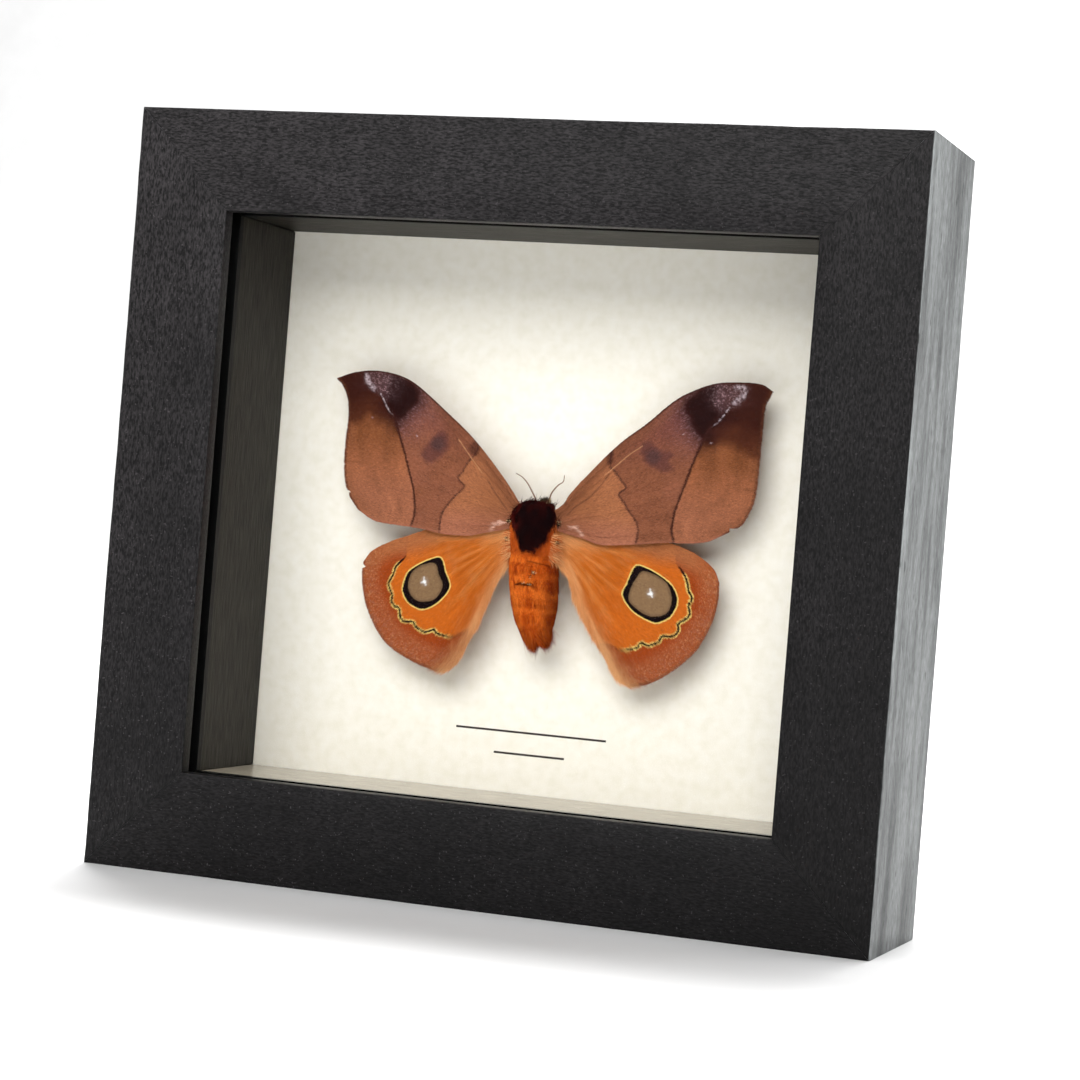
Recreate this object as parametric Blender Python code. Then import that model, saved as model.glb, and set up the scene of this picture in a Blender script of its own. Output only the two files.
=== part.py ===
"""A silk moth with eye-spotted hind wings, spread in a black wooden shadow-box frame.

Lengths are millimetres until a mesh is made. A point is written (x, depth, z): x runs to the
right and z up from the centre of the case's front face, and depth runs back from that face.
The model stands on z = 0, under the middle of the case, and looks along -Y.
"""

import math
import random

import bmesh
import bpy
import numpy as np
from mathutils import Vector

MM = 0.001
GAP = 0.3                      # kept between pieces that touch

# The case: four mitred rails of L section round a glass pane, spacers, paper and board
CASE_W = 160.0
CASE_H = 151.0
CASE_D = 38.5
FACE_W = 20.0                  # face width of a rail
WALL_T = 12.0                  # outer wall of a rail, beside its rabbet
LIP_T = 3.0                    # the front lip, over the glass
EDGE_R = 0.6                   # eased edges of a rail
GLASS_T = 3.1
PAPER_DEPTH = 33.5             # the paper's face, behind the case's front face
PAPER_T = 0.5
BOARD_T = 2.7
HANGER_W = 34.0
HANGER_H = 7.0
HANGER_T = 1.0
HANGER_TEETH = 9
HANGER_ROW = 0.7               # length of the row of teeth, as a share of the plate's width
HANGER_TOOTH = 0.28            # height of a tooth, as a share of the plate's height
HANGER_INSET = 4.0             # from the edge of the board down to the plate

# The moth's body, along z
BODY_X = 0.5                   # its midline
THORAX_DEPTH = 26.0            # depth of the thorax's axis
THORAX_TOP = 3.1
THORAX_END = -7.6
THORAX_A = 5.0                 # half width
THORAX_B = 4.5                 # half depth
THORAX_WIDEST = -2.0           # height of its widest section
THORAX_BOW = 2.3               # how far its front end bows away from the paper
THORAX_WAIST = 0.10            # how much it narrows towards the abdomen
ABDOMEN_END = -24.6
ABDOMEN_A = 4.7
ABDOMEN_B = 4.0
ABDOMEN_LEAN = 1.7             # how far the abdomen's end leans to the right
ABDOMEN_NECK = 0.16            # how much it narrows where it meets the thorax
TIP_TRIM = 0.15                # the abdomen's last ring, above its end
SEGMENT_ENDS = (-10.0, -13.2, -16.5, -19.8, -22.7)
SEGMENT_STEP = 0.35            # how far one segment stands over the next
HEAD = (1.2, 27.6, 2.1)
HEAD_R = (1.75, 1.6, 1.6)
EYE_R = 0.9
EYE_OUT = 1.55                 # from the middle of the head to the middle of an eye
SIDES = 24                     # faces round the thorax and the abdomen
SOFT_ANGLE = 50                # edges flatter than this, in degrees, are shaded smooth

# The coat's locks, in tiers: height of the root, length, lean away from the body, and the
# first and last angle round the body, where -90 degrees faces the front and 90 the paper
LOCK_T = 0.55
LOCK_SINK = 0.2
LOCK_SHAPE = ((0.0, 0.75), (0.45, 1.0), (0.8, 0.6))
LOCK_SPREAD = 1.2              # width of a lock, as a share of its pitch
COLLAR = {"z": 1.0, "length": 2.7, "lift": 0.10, "angles": (-155, -25), "count": 8, "up": True}
BACK_TIERS = (
    {"z": -1.2, "length": 3.2, "lift": 0.10, "angles": (-135, -45), "count": 6},
    {"z": -4.0, "length": 3.2, "lift": 0.10, "angles": (-145, -35), "count": 7},
    {"z": -6.4, "length": 2.4, "lift": 0.22, "angles": (-215, 35), "count": 14},
)
RING_LOCKS = 12
RING_LENGTH = 3.5
RING_LIFT = 0.10
TAIL_LOCKS = 11
TAIL_Z = -23.4                 # height of their roots
TAIL_WIDTH = 2.3
TAIL_SPREAD = 1.1              # how far their tips stand round the middle of a lobe
TAIL_LIFT = 0.08
TAIL_TIPS = ((2.3, 26.0, -26.4), (4.2, 26.0, -25.7))   # the tail tuft's two lobes

# The wings: one shared surface that droops towards the paper, and its layers
WING_T = 0.55
FORE_DEPTH = 24.1              # front face of the fore wings at the body
HIND_DEPTH = 25.2              # front face of the hind wings at the body
DROOP = 0.06                   # fall towards the paper, for each millimetre away from the body
SWELL = 0.35                   # height of the slight waves in the membrane
SWELL_LENGTH = 26.0
VEIN_H = 0.2                   # height of the main veins over the membrane
VEIN_W = 0.016                 # half width of a vein, as a share of the way across the wing
CELL_END = 0.45                # how far out the cross vein closes the cell
CELL_VEINS = (0.22, 0.70)      # the cell lies between these shares of the way across
ROW_STEP = 0.055               # rough step between rows, as a share of the way out
FRINGE = 0.45                  # teeth of the hairy inner margin of a hind wing

# Outlines as seen from the front, (x, z). The lead runs from the root to the tip, the outer
# margin from there to the hind corner, and the trail from the root to the hind corner.
FORE_LEFT = {
    "root": (1.7, -1.9),
    "lead": ((-6.6, 7.5), (-13.4, 14.5), (-20.3, 19.9), (-27.1, 24.9), (-31.5, 26.7), (-36.7, 27.3),
             (-41.5, 26.7), (-45.2, 25.4)),
    "outer": ((-43.5, 23.7), (-42.2, 20.8), (-41.8, 17.0), (-42.0, 12.8), (-41.8, 7.7), (-41.2, 4.2),
              (-39.9, 1.3), (-37.9, -1.2)),
    "trail": ((-9.5, -3.6), (-13.4, -4.5), (-18.5, -4.6), (-23.6, -3.9), (-30.5, -3.5), (-34.5, -3.0)),
}
FORE_RIGHT = {
    "root": (1.9, -1.6),
    "lead": ((6.4, 4.0), (10.0, 8.6), (16.6, 15.7), (21.8, 20.1), (27.0, 24.8), (31.0, 27.2),
             (35.5, 28.9), (40.8, 29.4), (44.2, 29.2), (46.2, 28.1)),
    "outer": ((45.7, 26.8), (45.0, 25.0), (44.8, 21.1), (44.7, 12.8), (44.5, 7.3), (43.5, 4.0),
              (42.0, 1.4), (38.8, -0.5)),
    "trail": ((10.3, -3.1), (14.6, -4.2), (21.1, -3.7), (27.7, -2.8), (30.9, -2.7), (35.5, -2.1)),
}
HIND_LEFT = {
    "root": (-1.2, -6.4),
    "lead": ((-10.0, -1.5), (-17.0, -2.2), (-23.2, -4.1), (-26.4, -5.3), (-30.7, -6.9), (-34.7, -9.1),
             (-36.3, -11.2)),
    "outer": ((-36.5, -13.5), (-35.6, -18.2), (-33.5, -22.7), (-29.9, -27.2), (-24.8, -30.1),
              (-19.3, -31.9), (-16.6, -32.0)),
    "trail": ((-6.2, -11.5), (-8.3, -16.5), (-10.0, -21.6), (-11.8, -25.4), (-13.3, -28.8),
              (-14.9, -30.9)),
}
HIND_RIGHT = {
    "root": (-1.0, -6.2),
    "lead": ((12.0, -1.0), (19.0, -1.2), (26.9, -2.6), (30.3, -3.4), (34.0, -4.9), (37.2, -7.2),
             (38.5, -9.6)),
    "outer": ((38.5, -13.5), (37.4, -18.2), (34.7, -23.6), (30.1, -28.0), (25.6, -30.7), (22.0, -31.4)),
    "trail": ((8.0, -10.3), (10.2, -15.0), (13.4, -20.9), (16.4, -25.3), (19.4, -30.0)),
}
# Main veins: the share of the way across the wing, and the share of the way out where each
# one leaves the cell's edge
FORE_VEINS = ((0.10, 0.0), (0.22, 0.0), (0.36, 0.45), (0.49, 0.45), (0.62, 0.0), (0.74, 0.3), (0.88, 0.0))
HIND_VEINS = ((0.12, 0.0), (0.27, 0.0), (0.42, 0.45), (0.56, 0.45), (0.70, 0.0), (0.84, 0.2))

# Feelers and legs, as points on their way out
ANTENNA_R = 0.27
ANTENNA_LEFT = ((-0.1, 27.0, 3.75), (-1.1, 26.6, 5.2), (-2.1, 26.3, 6.8), (-3.3, 26.1, 8.0),
                (-4.6, 26.0, 8.6))
ANTENNA_RIGHT = ((2.4, 27.0, 3.95), (3.0, 26.6, 5.2), (4.3, 26.3, 6.8), (5.4, 26.1, 7.6),
                 (5.6, 26.0, 8.9))
LEG_R = 0.35
LEGS = {
    "fore": ((1.9, 0.2), (1.9, 31.0, 1.4), (0.9, 30.6, 2.6)),
    "mid": ((3.2, -1.5), (5.3, 31.4, -3.6), (5.6, 31.9, -7.6)),
    "hind": ((2.4, -4.6), (3.2, 32.0, -9.0), (2.2, 32.4, -14.0)),
}
BLOCK_W = 3.0                  # the small block that holds the body off the paper
BLOCK_TOP = 0.0
BLOCK_END = -7.0

COLOURS = {
    "black_wood": ((0.020, 0.020, 0.022), 0.45),
    "black_spacer": ((0.030, 0.029, 0.027), 0.55),
    "glass": ((0.90, 0.95, 0.93), 0.05),
    "ivory_paper": ((0.86, 0.84, 0.78), 0.85),
    "board": ((0.35, 0.25, 0.16), 0.85),
    "steel": ((0.55, 0.55, 0.55), 0.35),
    "foam": ((0.80, 0.79, 0.74), 0.90),
    "fore_wing": ((0.36, 0.17, 0.10), 0.75),
    "hind_wing": ((0.62, 0.17, 0.04), 0.75),
    "thorax_fur": ((0.035, 0.006, 0.006), 0.80),
    "abdomen_fur": ((0.50, 0.11, 0.02), 0.80),
    "head_fur": ((0.06, 0.02, 0.015), 0.80),
    "eye": ((0.010, 0.008, 0.008), 0.15),
    "feeler": ((0.25, 0.13, 0.07), 0.70),
    "leg": ((0.20, 0.07, 0.03), 0.75),
}


def clear_scene():
    for obj in list(bpy.data.objects):
        bpy.data.objects.remove(obj, do_unlink=True)


def material(slot):
    found = bpy.data.materials.get(slot)
    if found:
        return found
    colour, roughness = COLOURS[slot]
    made = bpy.data.materials.new(slot)
    made.use_nodes = True
    shader = made.node_tree.nodes["Principled BSDF"]
    shader.inputs["Base Color"].default_value = (*colour, 1.0)
    shader.inputs["Roughness"].default_value = roughness
    shader.inputs["Metallic"].default_value = 1.0 if slot == "steel" else 0.0
    return made


def world(point):
    """A point (x, depth, z) in millimetres, placed in the model's own frame in metres."""
    x, depth, z = point
    return (x * MM, (depth - CASE_D / 2) * MM, (z + CASE_H / 2) * MM)


def solid(name, points, faces, slot, smooth=False):
    mesh = bpy.data.meshes.new(name)
    mesh.from_pydata([world(p) for p in points], [], faces)
    shape = bmesh.new()
    shape.from_mesh(mesh)
    bmesh.ops.recalc_face_normals(shape, faces=shape.faces)
    shape.to_mesh(mesh)
    shape.free()
    mesh.materials.append(material(slot))
    obj = bpy.data.objects.new(name, mesh)
    bpy.context.scene.collection.objects.link(obj)
    if smooth:
        mesh.shade_smooth()
        mesh.set_sharp_from_angle(angle=math.radians(SOFT_ANGLE))
    return obj


def slab(name, width, height, front, thickness, slot, centre=(0.0, 0.0)):
    """A flat upright plate, seen from the front as width by height."""
    cx, cz = centre
    points = [
        (cx + sx * width / 2, depth, cz + sz * height / 2)
        for depth in (front, front + thickness)
        for sx, sz in ((-1, -1), (1, -1), (1, 1), (-1, 1))
    ]
    faces = [(0, 1, 2, 3), (7, 6, 5, 4)]
    faces += [(i + 4, (i + 1) % 4 + 4, (i + 1) % 4, i) for i in range(4)]
    return solid(name, points, faces, slot)


def mitred_bar(name, side, profile, slot):
    """One side of a rectangular frame: a profile of (inset, depth) run between two mitres."""
    along_x = side in ("top", "bottom")
    sign = 1 if side in ("top", "right") else -1
    half_run, half_out = (CASE_W / 2, CASE_H / 2) if along_x else (CASE_H / 2, CASE_W / 2)
    trim = GAP / math.sqrt(2)
    ring = []
    for end in (-1, 1):
        for inset, depth in profile:
            run = end * (half_run - inset - trim)
            out = sign * (half_out - inset)
            ring.append((run, depth, out) if along_x else (out, depth, run))
    count = len(profile)
    first = tuple(range(count))
    last = tuple(range(2 * count - 1, count - 1, -1))
    faces = [first, last]
    faces += [(i + count, (i + 1) % count + count, (i + 1) % count, i) for i in range(count)]
    return solid(name, ring, faces, slot)


def make_case():
    rail = (
        (EDGE_R, 0.0), (FACE_W - EDGE_R, 0.0), (FACE_W, EDGE_R), (FACE_W, LIP_T), (WALL_T, LIP_T),
        (WALL_T, CASE_D), (EDGE_R, CASE_D), (0.0, CASE_D - EDGE_R), (0.0, EDGE_R),
    )
    glass_front = LIP_T + GAP
    spacer_front = glass_front + GLASS_T + GAP
    spacer_end = PAPER_DEPTH - GAP
    spacer_out = WALL_T + GAP
    spacer = (
        (spacer_out, spacer_front), (FACE_W, spacer_front), (FACE_W, spacer_end), (spacer_out, spacer_end),
    )
    for side in ("top", "bottom", "left", "right"):
        kind = "rail" if side in ("top", "bottom") else "stile"
        mitred_bar("%s_%s" % (kind, side), side, rail, "black_wood")
        mitred_bar("spacer_" + side, side, spacer, "black_spacer")
    width = CASE_W - 2 * spacer_out
    height = CASE_H - 2 * spacer_out
    slab("glass_pane", width, height, glass_front, GLASS_T, "glass")
    slab("backing_paper", width, height, PAPER_DEPTH, PAPER_T, "ivory_paper")
    board_front = PAPER_DEPTH + PAPER_T + GAP
    slab("backing_board", width, height, board_front, BOARD_T, "board")
    make_hanger(board_front + BOARD_T + GAP, CASE_H / 2 - WALL_T - HANGER_INSET)


def make_hanger(front, top):
    """A flat plate on the back, with a row of teeth cut into its lower edge."""
    pitch = HANGER_W * HANGER_ROW / HANGER_TEETH
    low = top - HANGER_H
    row = [(-HANGER_W / 2, top), (-HANGER_W / 2, low)]
    start = -pitch * HANGER_TEETH / 2
    row.append((start, low))
    for i in range(HANGER_TEETH):
        row.append((start + pitch * (i + 0.5), low + HANGER_H * HANGER_TOOTH))
        row.append((start + pitch * (i + 1), low))
    row += [(HANGER_W / 2, low), (HANGER_W / 2, top)]
    count = len(row)
    points = [(x, front, z) for x, z in row] + [(x, front + HANGER_T, z) for x, z in row]
    faces = [tuple(range(count)), tuple(range(2 * count - 1, count - 1, -1))]
    faces += [(i + count, (i + 1) % count + count, (i + 1) % count, i) for i in range(count)]
    solid("hanger", points, faces, "steel")


def through(points, share):
    """Points along a smooth curve through the given ones, at shares of its length."""
    given = np.array(points, dtype=float)
    knots = np.vstack([2 * given[0] - given[1], given, 2 * given[-1] - given[-2]])
    dense = []
    for a, b, c, d in zip(knots[:-3], knots[1:-2], knots[2:-1], knots[3:]):
        for t in np.linspace(0.0, 1.0, 12, endpoint=False):
            dense.append(0.5 * (2 * b + (c - a) * t + (2 * a - 5 * b + 4 * c - d) * t ** 2
                                + (3 * b - a - 3 * c + d) * t ** 3))
    dense.append(given[-1])
    dense = np.array(dense)
    length = np.concatenate([[0.0], np.cumsum(np.linalg.norm(np.diff(dense, axis=0), axis=1))])
    where = np.asarray(share, dtype=float) * length[-1]
    return np.stack([np.interp(where, length, dense[:, k]) for k in range(given.shape[1])], axis=1)


def thorax_section(z):
    """The middle's depth, half width and half depth of the thorax at height z."""
    up = min(max((z - THORAX_WIDEST) / (THORAX_TOP - THORAX_WIDEST), 0.0), 1.0)
    down = min(max((THORAX_WIDEST - z) / (THORAX_WIDEST - THORAX_END), 0.0), 1.0)
    dome = math.sqrt(max(1.0 - up ** 2.6, 0.0))
    waist = 1.0 - THORAX_WAIST * down ** 2
    depth = THORAX_DEPTH - THORAX_BOW * up ** 2
    return depth, THORAX_A * dome * waist, THORAX_B * dome ** 1.2 * waist


def thorax_side(z, depth):
    """Half the thorax's width at a height and depth."""
    middle, a, b = thorax_section(z)
    inside = 1.0 - ((depth - middle) / b) ** 2
    return a * math.sqrt(max(inside, 0.0))


def thorax_back(x, z):
    """Depth of the thorax's belly at x and z."""
    middle, a, b = thorax_section(z)
    return middle + b * math.sqrt(max(1.0 - ((x - BODY_X) / a) ** 2, 0.0))


def thorax_surface(z, angle):
    """A point on the thorax at a height and angle, and the way out of it."""
    depth, a, b = thorax_section(min(z, THORAX_TOP - 0.02))
    point = Vector((BODY_X + a * math.cos(angle), depth + b * math.sin(angle), z))
    return point, Vector((math.cos(angle) / a, math.sin(angle) / b, 0.0)).normalized()


def abdomen_surface(z, angle):
    """The same for the abdomen."""
    x, a, b = abdomen_section(max(z, ABDOMEN_END + 0.02))
    point = Vector((x + a * math.cos(angle), THORAX_DEPTH + b * math.sin(angle), z))
    return point, Vector((math.cos(angle) / a, math.sin(angle) / b, 0.0)).normalized()


def abdomen_section(z):
    """The middle's x, half width and half depth of the abdomen at height z."""
    along = (THORAX_END - GAP - z) / (THORAX_END - GAP - ABDOMEN_END)
    neck = 1.0 - ABDOMEN_NECK * (1.0 - min(along / 0.25, 1.0)) ** 2
    taper = neck * math.sqrt(max(1.0 - along ** 3.2, 0.0))
    return BODY_X + ABDOMEN_LEAN * along, ABDOMEN_A * taper, ABDOMEN_B * taper


def loft(name, rings, slot):
    """Ellipses (x, depth, z, half width, half depth) from top to bottom, closed at both ends."""
    points = []
    for x, depth, z, a, b in rings:
        for k in range(SIDES):
            turn = 2 * math.pi * k / SIDES
            points.append((x + a * math.cos(turn), depth + b * math.sin(turn), z))
    faces = []
    for r in range(len(rings) - 1):
        for k in range(SIDES):
            here, there = r * SIDES, (r + 1) * SIDES
            nxt = (k + 1) % SIDES
            faces.append((here + k, there + k, there + nxt, here + nxt))
    faces.append(tuple(range(SIDES)))
    faces.append(tuple(reversed(range((len(rings) - 1) * SIDES, len(rings) * SIDES))))
    return solid(name, points, faces, slot, smooth=True)


def ellipsoid(name, centre, radii, slot, segments=20):
    """A closed round body about a centre."""
    rows = segments // 2
    rings = []
    for i in range(1, rows):
        turn = math.pi * i / rows
        rings.append((radii[2] * math.cos(turn), math.sin(turn)))
    points = [(centre[0], centre[1], centre[2] + radii[2])]
    for up, wide in rings:
        for k in range(segments):
            angle = 2 * math.pi * k / segments
            points.append((centre[0] + radii[0] * wide * math.cos(angle),
                           centre[1] + radii[1] * wide * math.sin(angle), centre[2] + up))
    points.append((centre[0], centre[1], centre[2] - radii[2]))
    end = len(points) - 1
    faces = []
    for k in range(segments):
        nxt = (k + 1) % segments
        faces.append((0, 1 + k, 1 + nxt))
        faces.append((end, end - segments + nxt, end - segments + k))
        for r in range(len(rings) - 1):
            here, there = 1 + r * segments, 1 + (r + 1) * segments
            faces.append((here + k, there + k, there + nxt, here + nxt))
    return solid(name, points, faces, slot, smooth=True)


def combine(target, pieces, operation):
    """Join the pieces to the target, or take them out of it, and remove them."""
    group = bpy.data.collections.new("pieces")
    bpy.context.scene.collection.children.link(group)
    for piece in pieces:
        bpy.context.scene.collection.objects.unlink(piece)
        group.objects.link(piece)
    change = target.modifiers.new("combine", "BOOLEAN")
    change.operation = operation
    change.operand_type = "COLLECTION"
    change.collection = group
    graph = bpy.context.evaluated_depsgraph_get()
    mesh = bpy.data.meshes.new_from_object(target.evaluated_get(graph))
    target.modifiers.clear()
    target.data = mesh
    for piece in pieces:
        bpy.data.objects.remove(piece, do_unlink=True)
    bpy.data.collections.remove(group)
    keep_largest(mesh)
    mesh.shade_smooth()
    mesh.set_sharp_from_angle(angle=math.radians(SOFT_ANGLE))


def keep_largest(mesh):
    """Drop every closed surface of a mesh but the one with the most volume."""
    shape = bmesh.new()
    shape.from_mesh(mesh)
    left = set(shape.faces)
    surfaces = []
    while left:
        stack = [left.pop()]
        surface = []
        while stack:
            face = stack.pop()
            surface.append(face)
            for edge in face.edges:
                for other in edge.link_faces:
                    if other in left:
                        left.remove(other)
                        stack.append(other)
        volume = 0.0
        for face in surface:
            corners = [v.co for v in face.verts]
            for b, c in zip(corners[1:-1], corners[2:]):
                volume += corners[0].dot(b.cross(c))
        surfaces.append((volume, surface))
    surfaces.sort(key=lambda item: item[0])
    for _, surface in surfaces[:-1]:
        bmesh.ops.delete(shape, geom=surface, context="FACES")
    shape.to_mesh(mesh)
    shape.free()


def lock(root, lie, out, length, width, lift, slot):
    """A flat lock of hair that tapers to a point along its lie and bends away from the body."""
    root, lie, out = Vector(root), Vector(lie).normalized(), Vector(out).normalized()
    across = lie.cross(out).normalized()
    points = []
    for share, wide in LOCK_SHAPE:
        middle = root + lie * length * share + out * length * lift * share ** 2
        for a, b in ((-1, 0), (0, 1), (1, 0), (0, -1)):
            points.append(middle + across * (a * wide * width / 2) + out * (b * wide * LOCK_T / 2))
    points.append(root + lie * length + out * length * lift)
    tip = len(points) - 1
    faces = [(3, 2, 1, 0)]
    for r in range(len(LOCK_SHAPE) - 1):
        faces += [(4 * r + k, 4 * r + (k + 1) % 4, 4 * r + 4 + (k + 1) % 4, 4 * r + 4 + k) for k in range(4)]
    faces += [(tip - 4 + k, tip - 4 + (k + 1) % 4, tip) for k in range(4)]
    return solid("lock", [tuple(p) for p in points], faces, slot)


def tier_of_locks(surface, tier, slot, rng):
    """Locks round part of a body, whose surface(z, angle) gives a point and the way out."""
    first, last = (math.radians(a) for a in tier["angles"])
    step = (last - first) / max(tier["count"] - 1, 1)
    along = 1.0 if tier.get("up") else -1.0
    locks = []
    for k in range(tier["count"]):
        angle = first + step * (k + rng.uniform(-0.12, 0.12))
        z = tier["z"] + rng.uniform(-0.15, 0.15)
        point, out = surface(z, angle)
        ahead, _ = surface(z + along * 1.2, angle)
        beside, _ = surface(z, angle + step)
        lie = ahead - point
        width = (beside - point).length * LOCK_SPREAD
        root = point - out * LOCK_SINK
        length = tier["length"] * rng.uniform(0.92, 1.08)
        locks.append(lock(root, lie, out, length, width, tier["lift"], slot))
    return locks


def eye_centre(side):
    return (HEAD[0] + side * EYE_OUT, HEAD[1] - 0.1, HEAD[2] + 0.2)


def make_head():
    """The head, hollowed out where the eyes sit in it."""
    head = ellipsoid("head", HEAD, HEAD_R, "head_fur")
    sockets = []
    for side, name in ((-1, "left"), (1, "right")):
        ellipsoid("eye_" + name, eye_centre(side), (EYE_R,) * 3, "eye", segments=16)
        sockets.append(ellipsoid("socket", eye_centre(side), (EYE_R + GAP,) * 3, "eye", segments=16))
    combine(head, sockets, "DIFFERENCE")


def make_thorax(rng):
    """The thorax with its coat of locks, cut clear of the head and the eyes."""
    dome = 1.0 - np.cos(np.linspace(0.12, 1.0, 8) * math.pi / 2)
    heights = np.concatenate([THORAX_TOP - dome * (THORAX_TOP - THORAX_WIDEST),
                              np.linspace(THORAX_WIDEST - 1.2, THORAX_END, 4)])
    thorax_rings = []
    for z in heights:
        depth, a, b = thorax_section(z)
        thorax_rings.append((BODY_X, depth, z, a, b))
    thorax = loft("thorax", thorax_rings, "thorax_fur")
    locks = []
    for tier in (COLLAR,) + BACK_TIERS:
        locks += tier_of_locks(thorax_surface, tier, "thorax_fur", rng)
    combine(thorax, locks, "UNION")
    room = [ellipsoid("room", HEAD, [r + GAP for r in HEAD_R], "thorax_fur")]
    for side in (-1, 1):
        room.append(ellipsoid("room", eye_centre(side), (EYE_R + GAP,) * 3, "thorax_fur", segments=16))
    combine(thorax, room, "DIFFERENCE")


def make_abdomen(rng):
    """The abdomen in stepped segments, with a ring of locks on each and the tail tuft."""
    abdomen_rings = []
    last = ABDOMEN_END + TIP_TRIM
    edges = (THORAX_END - GAP,) + SEGMENT_ENDS + (last,)
    for i, (top, end) in enumerate(zip(edges[:-1], edges[1:])):
        steps = 3
        for k in range(steps):
            z = top + (end - top) * (k + (0.12 if i else 0.0)) / steps
            x, a, b = abdomen_section(z)
            out = SEGMENT_STEP * (k / (steps - 1) - 0.5)
            abdomen_rings.append((x, THORAX_DEPTH, z, a + out, b + out))
    x, a, b = abdomen_section(last)
    abdomen_rings.append((x, THORAX_DEPTH, last, a, b))
    abdomen = loft("abdomen", abdomen_rings, "abdomen_fur")
    locks = []
    for i, z in enumerate(SEGMENT_ENDS):
        turn = 180.0 / RING_LOCKS * (i % 2)
        tier = {"z": z + 1.3, "length": RING_LENGTH, "lift": RING_LIFT, "count": RING_LOCKS,
                "angles": (turn, turn + 360.0 * (RING_LOCKS - 1) / RING_LOCKS)}
        locks += tier_of_locks(abdomen_surface, tier, "abdomen_fur", rng)
    locks += tail_locks(rng)
    combine(abdomen, locks, "UNION")


def tail_locks(rng):
    """The tail tuft: locks that gather into two lobes."""
    locks = []
    for k in range(TAIL_LOCKS):
        angle = 2 * math.pi * k / TAIL_LOCKS
        point, out = abdomen_surface(TAIL_Z, angle)
        lobe = Vector(TAIL_TIPS[1] if math.cos(angle) > 0.2 else TAIL_TIPS[0])
        tip = lobe + Vector((math.cos(angle), math.sin(angle), rng.uniform(0.0, 0.6))) * TAIL_SPREAD
        lie = tip - point
        root = point - out * LOCK_SINK
        locks.append(lock(root, lie, out, lie.length, TAIL_WIDTH, TAIL_LIFT, "abdomen_fur"))
    return locks


def wing_lift(x, z):
    """How far the shared wing surface lies behind its depth at the body."""
    away = abs(x - BODY_X)
    wave = math.sin(away / SWELL_LENGTH * 2 * math.pi) * math.cos((z + 4.0) / SWELL_LENGTH * math.pi)
    return DROOP * away + SWELL * wave * min(away / 15.0, 1.0)


def row_shares():
    """Where the rows of a wing lie, with three close ones at the cell's end."""
    inner = np.linspace(0.0, CELL_END - ROW_STEP, round(CELL_END / ROW_STEP))
    outer = np.linspace(CELL_END + ROW_STEP, 1.0, round((1.0 - CELL_END) / ROW_STEP))
    return np.concatenate([inner, CELL_END + np.array((-1.0, 0.0, 1.0)) * VEIN_W, outer])


def wing_net(outline, side, depth, across):
    """Rows of points (x, z) over a wing, from its root to its outer margin, lead to trail."""
    back = depth + WING_T
    root = [(BODY_X + side * (thorax_side(z, back) + GAP), z) for z in outline["root"]]
    share = row_shares()
    lead = through([root[0], *outline["lead"]], share)
    trail = through([root[1], *outline["trail"], outline["outer"][-1]], share)
    outer = through([outline["lead"][-1], *outline["outer"]], across)
    rows = []
    for i, s in enumerate(share):
        row = []
        for j, t in enumerate(across):
            z = root[0][1] + (root[1][1] - root[0][1]) * t
            base = np.array((BODY_X + side * (thorax_side(z, back) + GAP), z))
            corners = (1 - s) * ((1 - t) * lead[0] + t * trail[0])
            corners += s * ((1 - t) * lead[-1] + t * trail[-1])
            row.append((1 - t) * lead[i] + t * trail[i] + (1 - s) * base + s * outer[j] - corners)
        rows.append(row)
    return share, rows


def vein_height(share, place, veins):
    """Height of the vein, if any, that runs through a point of the net."""
    height = VEIN_H * (1.15 - 0.6 * share)
    if abs(share - CELL_END) < 1e-6 and CELL_VEINS[0] < place < CELL_VEINS[1]:
        return height
    for middle, start in veins:
        if abs(place - middle) < 1e-6 and share >= start:
            return height
    return 0.0


def skin_faces(steps, wide):
    """Triangles of both faces of a net of points and of the rim between them."""
    shift = (steps + 1) * wide
    last = steps * wide
    faces = []
    for i in range(steps):
        for j in range(wide - 1):
            a = i * wide + j
            b, c, d = a + 1, a + wide + 1, a + wide
            faces += [(a, b, c), (a, c, d)]
            faces += [(c + shift, b + shift, a + shift), (d + shift, c + shift, a + shift)]
    rim = list(range(wide)) + [i * wide + wide - 1 for i in range(1, steps + 1)]
    rim += list(range(last + wide - 2, last - 1, -1)) + [i * wide for i in range(steps - 1, 0, -1)]
    for a, b in zip(rim, rim[1:] + rim[:1]):
        faces += [(b, a, a + shift), (b, a + shift, b + shift)]
    return faces


def make_wing(name, outline, side, depth, veins, slot, fringe=0.0):
    """A thin wing with raised veins, its hind edge toothed by the size of the fringe."""
    across = [0.0]
    for middle, _ in veins:
        across += [middle - VEIN_W, middle, middle + VEIN_W]
    across.append(1.0)
    share, rows = wing_net(outline, side, depth, across)
    for i in range(3, len(rows) - 2, 2):
        edge = rows[i][-1]
        edge += (edge - rows[i][-2]) / np.linalg.norm(edge - rows[i][-2]) * fringe
    front, rear = [], []
    for s, row in zip(share, rows):
        for t, (x, z) in zip(across, row):
            face = depth + wing_lift(x, z)
            raised = vein_height(s, t, veins) if 0.0 < s < 1.0 else 0.0
            front.append((x, face - raised, z))
            rear.append((x, face + WING_T, z))
    faces = skin_faces(len(rows) - 1, len(across))
    return solid(name, front + rear, faces, slot, smooth=True)


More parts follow.
